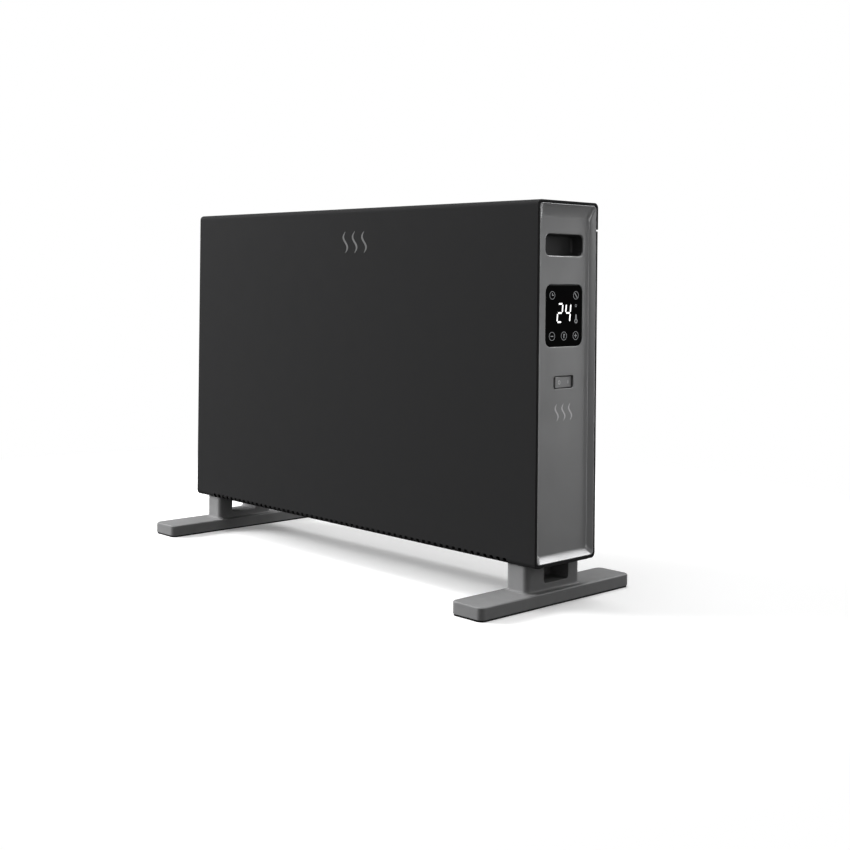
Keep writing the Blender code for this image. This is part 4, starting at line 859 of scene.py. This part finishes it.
# ---------------------------------------------------------------- power switch
def make_rocker():
    """The rocker at rest, its rear end pressed in, with rounded edges and on and off marks."""
    low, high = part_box("power_rocker")
    joint = next(j for j in frame["joints"] if j["child"] == "power_rocker")
    pivot = Vector(joint["pos_m"])
    lean = math.radians(joint["range_deg"][1] / 2)
    half, height = KEY_HALF, KEY_HEIGHT
    face, sag, skirt, edge = 0.0045, 0.0004, 0.0032, 0.0007
    corners = [(face, -half), (face - sag, 0), (face, half), (face - skirt, half), (-0.0030, half * 0.35),
               (-0.0030, half * -0.35), (face - skirt, -half)]
    bm = bmesh.new()
    sole = bm.faces.new([bm.verts.new((x, y, -height)) for x, y in corners])
    grown = bmesh.ops.extrude_face_region(bm, geom=[sole])["geom"]
    bmesh.ops.translate(bm, verts=verts_of(grown), vec=(0, 0, 2 * height))
    bmesh.ops.recalc_face_normals(bm, faces=bm.faces)
    rim = [e for e in bm.edges if all(v.co.x > face - skirt - 1e-6 for v in e.verts)
           and e.calc_face_angle(0) > math.radians(30)]
    rounded(bm, rim, edge, 4)
    bmesh.ops.create_cone(bm, cap_ends=True, segments=24, radius1=0.0012, radius2=0.0012,
                          depth=high.z - low.z)
    bmesh.ops.rotate(bm, verts=bm.verts, cent=(0, 0, 0), matrix=Matrix.Rotation(lean, 3, "Z"))
    bmesh.ops.translate(bm, verts=bm.verts, vec=pivot)
    piece("rocker_key", bm, KEY_SHADED_FINISH, ["power_rocker"], body="power_rocker")

    mark = bmesh.new()
    ring_mark(mark, -0.0085, 0, 0.0022, 0.0016, face + MARK_LIFT, 28)
    bar_mark(mark, 0.0085, 0, 0.0007, 0.0040, face + MARK_LIFT)
    for vert in mark.verts:
        vert.co.x += sag * (abs(vert.co.y) / half - 1)
    bmesh.ops.rotate(mark, verts=mark.verts, cent=(0, 0, 0), matrix=Matrix.Rotation(lean, 3, "Z"))
    bmesh.ops.translate(mark, verts=mark.verts, vec=pivot)
    piece("rocker_marks", mark, CAP_PRINT, body="power_rocker")


# ---------------------------------------------------------------- feet
FOOT_HEAD_BORE, FOOT_SHANK_BORE = 0.0043, 0.0023
OPENINGS = {entry["name"]: (Vector(entry["box_m"][0]), Vector(entry["box_m"][1]))
            for entry in frame["record"]["physics"]["openings"]}


def make_foot(name, side):
    """One foot: a bar with soft edges, and a post that grows out of it with a small fillet."""
    low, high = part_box(f"{name}_foot")
    if side < 0:
        low, high = Vector((-high.x, low.y, low.z)), Vector((-low.x, high.y, high.z))
    bar_top, corner, edge = 0.0155, 0.0074, 0.0016
    post_length, post_width, post_inset, post_corner, post_fillet = 0.090, 0.033, 0.0088, 0.0060, 0.0030
    post_high = Vector((high.x - post_inset, post_length / 2, high.z))
    post_low = Vector((post_high.x - post_width, -post_length / 2, bar_top))
    bm = bmesh.new()
    sole = outline(bm, low, (high.x, high.y, low.z), corner, 8)
    fill(bm, sole)
    loop = sole
    for sine, cosine in quarter_turn(ROUND_STEPS, 0):
        inset = edge * (1 - cosine)
        level = bar_top - edge * (1 - sine)
        loop = carry(bm, loop, (low.x + inset, low.y + inset, level),
                     (high.x - inset, high.y - inset, level))
    flat = edge + 0.0004
    loop = carry(bm, loop, (low.x + flat, low.y + flat, bar_top), (high.x - flat, high.y - flat, bar_top))
    spread = min(post_fillet, post_low.x - low.x - flat - GAP)
    start = outline(bm, (post_low.x - spread, post_low.y - post_fillet, bar_top),
                    (post_high.x + spread, post_high.y + post_fillet, bar_top), post_corner + spread, 8)
    fill(bm, loop, start)
    loop = start
    for sine, cosine in quarter_turn(ROUND_STEPS):
        grow_x, grow_y = spread * (1 - sine), post_fillet * (1 - sine)
        level = bar_top + post_fillet * (1 - cosine)
        loop = carry(bm, loop, (post_low.x - grow_x, post_low.y - grow_y, level),
                     (post_high.x + grow_x, post_high.y + grow_y, level))
    loop = carry(bm, loop, (post_low.x, post_low.y, high.z), post_high)
    fill(bm, loop)
    bmesh.ops.recalc_face_normals(bm, faces=bm.faces)
    if side < 0:
        flip_ends(bm)
    foot = piece(f"{name}_foot_moulding", bm, FOOT_FINISH, [f"{name}_foot"],
                 edge=0.0006, edge_steps=3)
    window_low, window_high = OPENINGS[f"{name}_foot_window"]
    clear_side, clear_below, clear_back = 0.0020, 0.0015, 0.0015
    cutter = block(bmesh.new(), (window_low.x - clear_back, window_low.y - clear_side,
                                 window_low.z - clear_below),
                   (window_high.x, window_high.y + clear_side, high.z + 0.01), 0.0040, 6, 0)
    cut_out(foot, cutter)
    for place in ("front", "rear"):
        screw_low, screw_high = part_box(f"foot_screw_{name}_{place}")
        middle = (screw_low + screw_high) / 2
        bottom, seat, past = -0.01, screw_low.z + 0.0028, high.z + 0.01
        bores = bmesh.new()
        for radius, top in ((FOOT_HEAD_BORE, seat), (FOOT_SHANK_BORE, past)):
            round_cutter(bores, (middle.x, middle.y, (bottom + top) / 2), radius, top - bottom)
        cut_out(foot, bores)


# ---------------------------------------------------------------- heat symbol
def wave_ribbon(bm, x, height, sway, stroke):
    """One upright wave as a flat ribbon in X and Z, thicker in its middle, its ends rounded off."""
    strip = bmesh.ops.create_grid(bm, x_segments=1, y_segments=28, size=0.5)["verts"]
    for vert in strip:
        t = vert.co.y + 0.5
        width = stroke * math.sqrt(max(0.02, math.sin(math.pi * t)))
        vert.co = (x + sway * math.sin(math.tau * t) + width * vert.co.x, 0, height * (t - 0.5))


def heat_symbol(width, height, stroke):
    """Three waves of warm air side by side, facing -Y at the origin."""
    bm = bmesh.new()
    pitch = width / 3
    for index in (-1, 0, 1):
        wave_ribbon(bm, index * pitch, height, pitch * 0.22, stroke)
    bmesh.ops.recalc_face_normals(bm, faces=bm.faces)
    bmesh.ops.solidify(bm, geom=list(bm.faces), thickness=MARK_LIFT)
    return bm


def make_symbols():
    """The heat symbol on the front sheet and, smaller, on the control end."""
    front = heat_symbol(0.054, 0.027, 0.0036)
    bmesh.ops.translate(front, verts=front.verts, vec=(0.0195, FRONT - MARK_LIFT / 2, TOP - 0.0425))
    piece("front_heat_symbol", front, PRINT_FINISH)
    side = heat_symbol(0.034, 0.019, 0.0026)
    bmesh.ops.rotate(side, verts=side.verts, cent=(0, 0, 0), matrix=Matrix.Rotation(math.pi / 2, 3, "Z"))
    bmesh.ops.translate(side, verts=side.verts, vec=(CAP_FLOOR + MARK_LIFT / 2, 0, TOP - 0.2335))
    piece("side_heat_symbol", side, CAP_PRINT)


# ---------------------------------------------------------------- back fittings
def make_rear_screws():
    """Round-headed screws with a cross cut into each head."""
    shank, cross_half, cross_depth = 0.0016, 0.00035, 0.0011
    for index in range(1, 5):
        low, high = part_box(f"rear_screw_{index}")
        middle = (low + high) / 2
        head = high.x - middle.x
        seat = REAR_FACE + GAP
        tip, brow, crown = low.y - seat, 0.0006, high.y - seat
        rings = [(tip, 0), (tip, shank), (0, shank), (0, head * 0.94), (0.0002, head)]
        for sine, cosine in quarter_turn(ROUND_STEPS):
            rings.append((brow + (crown - brow) * sine, head * cosine * 0.999))
        rings[-1] = (crown, 0)
        screw = piece(f"rear_panel_screw_{index}", spun(rings, 1, (middle.x, seat, middle.z), 32), STEEL,
                      [f"rear_screw_{index}"], tidy=False)
        for wide, tall in ((head * 0.55, cross_half), (cross_half, head * 0.55)):
            cross = block(bmesh.new(), (middle.x - wide, high.y - cross_depth, middle.z - tall),
                          (middle.x + wide, high.y + 0.002, middle.z + tall))
            cut_out(screw, cross)


def make_gland():
    """The cord gland: a collar with a soft edge, a waist in the sheet and a flared bore."""
    low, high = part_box("cord_gland")
    middle = (low + high) / 2
    collar, bore, barrel, flare = high.x - middle.x, 0.0041, 0.0064, 0.0014
    proud, tail = high.y - REAR_FACE, low.y - REAR_FACE
    rings = [(tail, bore), (tail, barrel - 0.001), (tail + 0.001, barrel), (GAP, barrel), (GAP, collar),
             (proud * 0.45, collar)]
    for sine, cosine in quarter_turn(5):
        rings.append((proud * (0.45 + 0.55 * sine), collar - 0.0022 * (1 - cosine)))
    for sine, cosine in quarter_turn(5, 0):
        rings.append((proud - flare * (1 - cosine), bore + flare * (1 - sine)))
    rings.append(rings[0])
    piece("cord_gland_collar", spun(rings, 1, (middle.x, REAR_FACE, middle.z), 48), BLACK_FINISH,
          ["cord_gland"], tidy=False)


def make_soles():
    """Rubber soles with a softened edge and the same access holes as the feet."""
    for name in ("right", "left"):
        low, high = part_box(f"{name}_foot_sole")
        bm = bmesh.new()
        start = outline(bm, low, (high.x, high.y, low.z), 0.0064, 8)
        fill(bm, start)
        soft = 0.0004
        loop = carry(bm, start, (low.x, low.y, high.z - soft), (high.x, high.y, high.z - soft))
        loop = carry(bm, loop, (low.x + soft, low.y + soft, high.z), (high.x - soft, high.y - soft, high.z))
        fill(bm, loop)
        sole = piece(f"{name}_rubber_sole", bm, RUBBER, [f"{name}_foot_sole"])
        for place in ("front", "rear"):
            screw_low, screw_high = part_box(f"foot_screw_{name}_{place}")
            middle = (screw_low + screw_high) / 2
            hole = bmesh.new()
            round_cutter(hole, (middle.x, middle.y, 0), FOOT_HEAD_BORE, 0.02)
            cut_out(sole, hole)


# ---------------------------------------------------------------- studio
def make_world():
    """A white studio behind, and a dim even light from all round."""
    world = bpy.data.worlds.new("studio")
    SCENE.world = world
    world.use_nodes = True
    nodes, links = world.node_tree.nodes, world.node_tree.links
    fill_light = nodes["Background"]
    fill_light.inputs["Color"].default_value = (1.0, 1.0, 1.0, 1.0)
    fill_light.inputs["Strength"].default_value = 0.14
    seen = nodes.new("ShaderNodeBackground")
    seen.inputs["Color"].default_value = (1.0, 1.0, 1.0, 1.0)
    path = nodes.new("ShaderNodeLightPath")
    mix = nodes.new("ShaderNodeMixShader")
    links.new(path.outputs["Is Camera Ray"], mix.inputs[0])
    links.new(fill_light.outputs["Background"], mix.inputs[1])
    links.new(seen.outputs["Background"], mix.inputs[2])
    links.new(mix.outputs["Shader"], nodes["World Output"].inputs["Surface"])


def white_floor():
    """White paper that fades into the studio white away from the middle."""
    made, tree, shader = surface("white_paper", (0.90, 0.90, 0.90), 0.85, Specular_IOR_Level=0.1)
    nodes, links = tree.nodes, tree.links
    place = nodes.new("ShaderNodeTexCoord")
    reach = nodes.new("ShaderNodeVectorMath")
    reach.operation = "DISTANCE"
    reach.inputs[1].default_value = (-0.15, 0, 0)
    links.new(place.outputs["Object"], reach.inputs[0])
    fade = nodes.new("ShaderNodeMapRange")
    fade.interpolation_type = "SMOOTHSTEP"
    fade.inputs["From Min"].default_value = 0.50
    fade.inputs["From Max"].default_value = 1.00
    links.new(reach.outputs["Value"], fade.inputs["Value"])
    lift = nodes.new("ShaderNodeEmission")
    lift.inputs["Strength"].default_value = 0.18
    lifted = nodes.new("ShaderNodeAddShader")
    links.new(shader.outputs["BSDF"], lifted.inputs[0])
    links.new(lift.outputs["Emission"], lifted.inputs[1])
    white = nodes.new("ShaderNodeEmission")
    mix = nodes.new("ShaderNodeMixShader")
    links.new(fade.outputs["Result"], mix.inputs[0])
    links.new(lifted.outputs["Shader"], mix.inputs[1])
    links.new(white.outputs["Emission"], mix.inputs[2])
    links.new(mix.outputs["Shader"], nodes["Material Output"].inputs["Surface"])
    return made


def make_plane(name, level, material):
    """A wide level plane of the studio."""
    bm = bmesh.new()
    bmesh.ops.create_grid(bm, x_segments=1, y_segments=1, size=12.0)
    bmesh.ops.translate(bm, verts=bm.verts, vec=(0, 0, level))
    mesh = bpy.data.meshes.new(name)
    bm.to_mesh(mesh)
    bm.free()
    plane = bpy.data.objects.new(name, mesh)
    SCENE.collection.objects.link(plane)
    mesh.materials.append(material)
    return plane


def make_floor():
    """The floor that is seen, and a greyer one under it that sets how much light comes back up."""
    floor = make_plane("floor", 0.0, white_floor())
    floor.visible_diffuse = False
    floor.visible_glossy = False
    bounce = make_plane("floor_bounce", -0.001, surface("grey_paper", (0.17, 0.17, 0.17), 0.9)[0])
    bounce.visible_camera = False
    bounce.visible_glossy = False
    bounce.visible_shadow = False


def lamp(name, place, target, size, power):
    """A rectangular lamp turned to a point."""
    light = bpy.data.lights.new(name, "AREA")
    light.shape = "RECTANGLE"
    light.size, light.size_y = size
    light.energy = power
    thing = bpy.data.objects.new(name, light)
    SCENE.collection.objects.link(thing)
    thing.location = place
    thing.rotation_euler = (Vector(target) - Vector(place)).to_track_quat("-Z", "Y").to_euler()
    return thing


def make_studio():
    """A key from the front left, soft top and side light, and gleams seen only in gloss."""
    SCENE.view_settings.view_transform = "Standard"
    make_world()
    make_floor()
    middle = (0, 0, 0.22)
    side = (0.325, 0, 0.25)
    lamp("key_front_left", (-2.4, -1.6, 1.3), middle, (1.8, 1.6), 171).visible_glossy = False
    lamp("top_soft", (0.1, 0.1, 2.6), middle, (2.4, 1.8), 60)
    lamp("side_fill", (1.9, 2.1, 1.0), side, (1.2, 1.0), 12).visible_glossy = False
    for name, place, size, power in (("gleam_above", (0.9, 2.4, 2.3), (2.4, 1.2), 50),
                                     ("gleam_side", (2.7, 0.55, 0.15), (0.9, 1.0), 8),
                                     ("gleam_behind", (1.2, 2.6, 0.15), (0.9, 1.0), 8),
                                     ("gleam_front", (1.8, -2.2, 1.2), (1.0, 1.0), 9)):
        gleam = lamp(name, place, side, size, power)
        gleam.visible_diffuse = False


make_front_sheet()
make_rear_sheet()
make_base_sheet()
make_grille()
make_cap("right_end", [grip_hole(), window_hole(), switch_hole()])
make_cap("left_end", [grip_hole()])
make_pocket("right", 1)
make_pocket("left", -1)
make_window()
make_display_marks()
make_rocker()
make_foot("right", 1)
make_foot("left", -1)
make_soles()
make_symbols()
make_rear_screws()
make_gland()
finish_frame()
finish_edges()
make_studio()
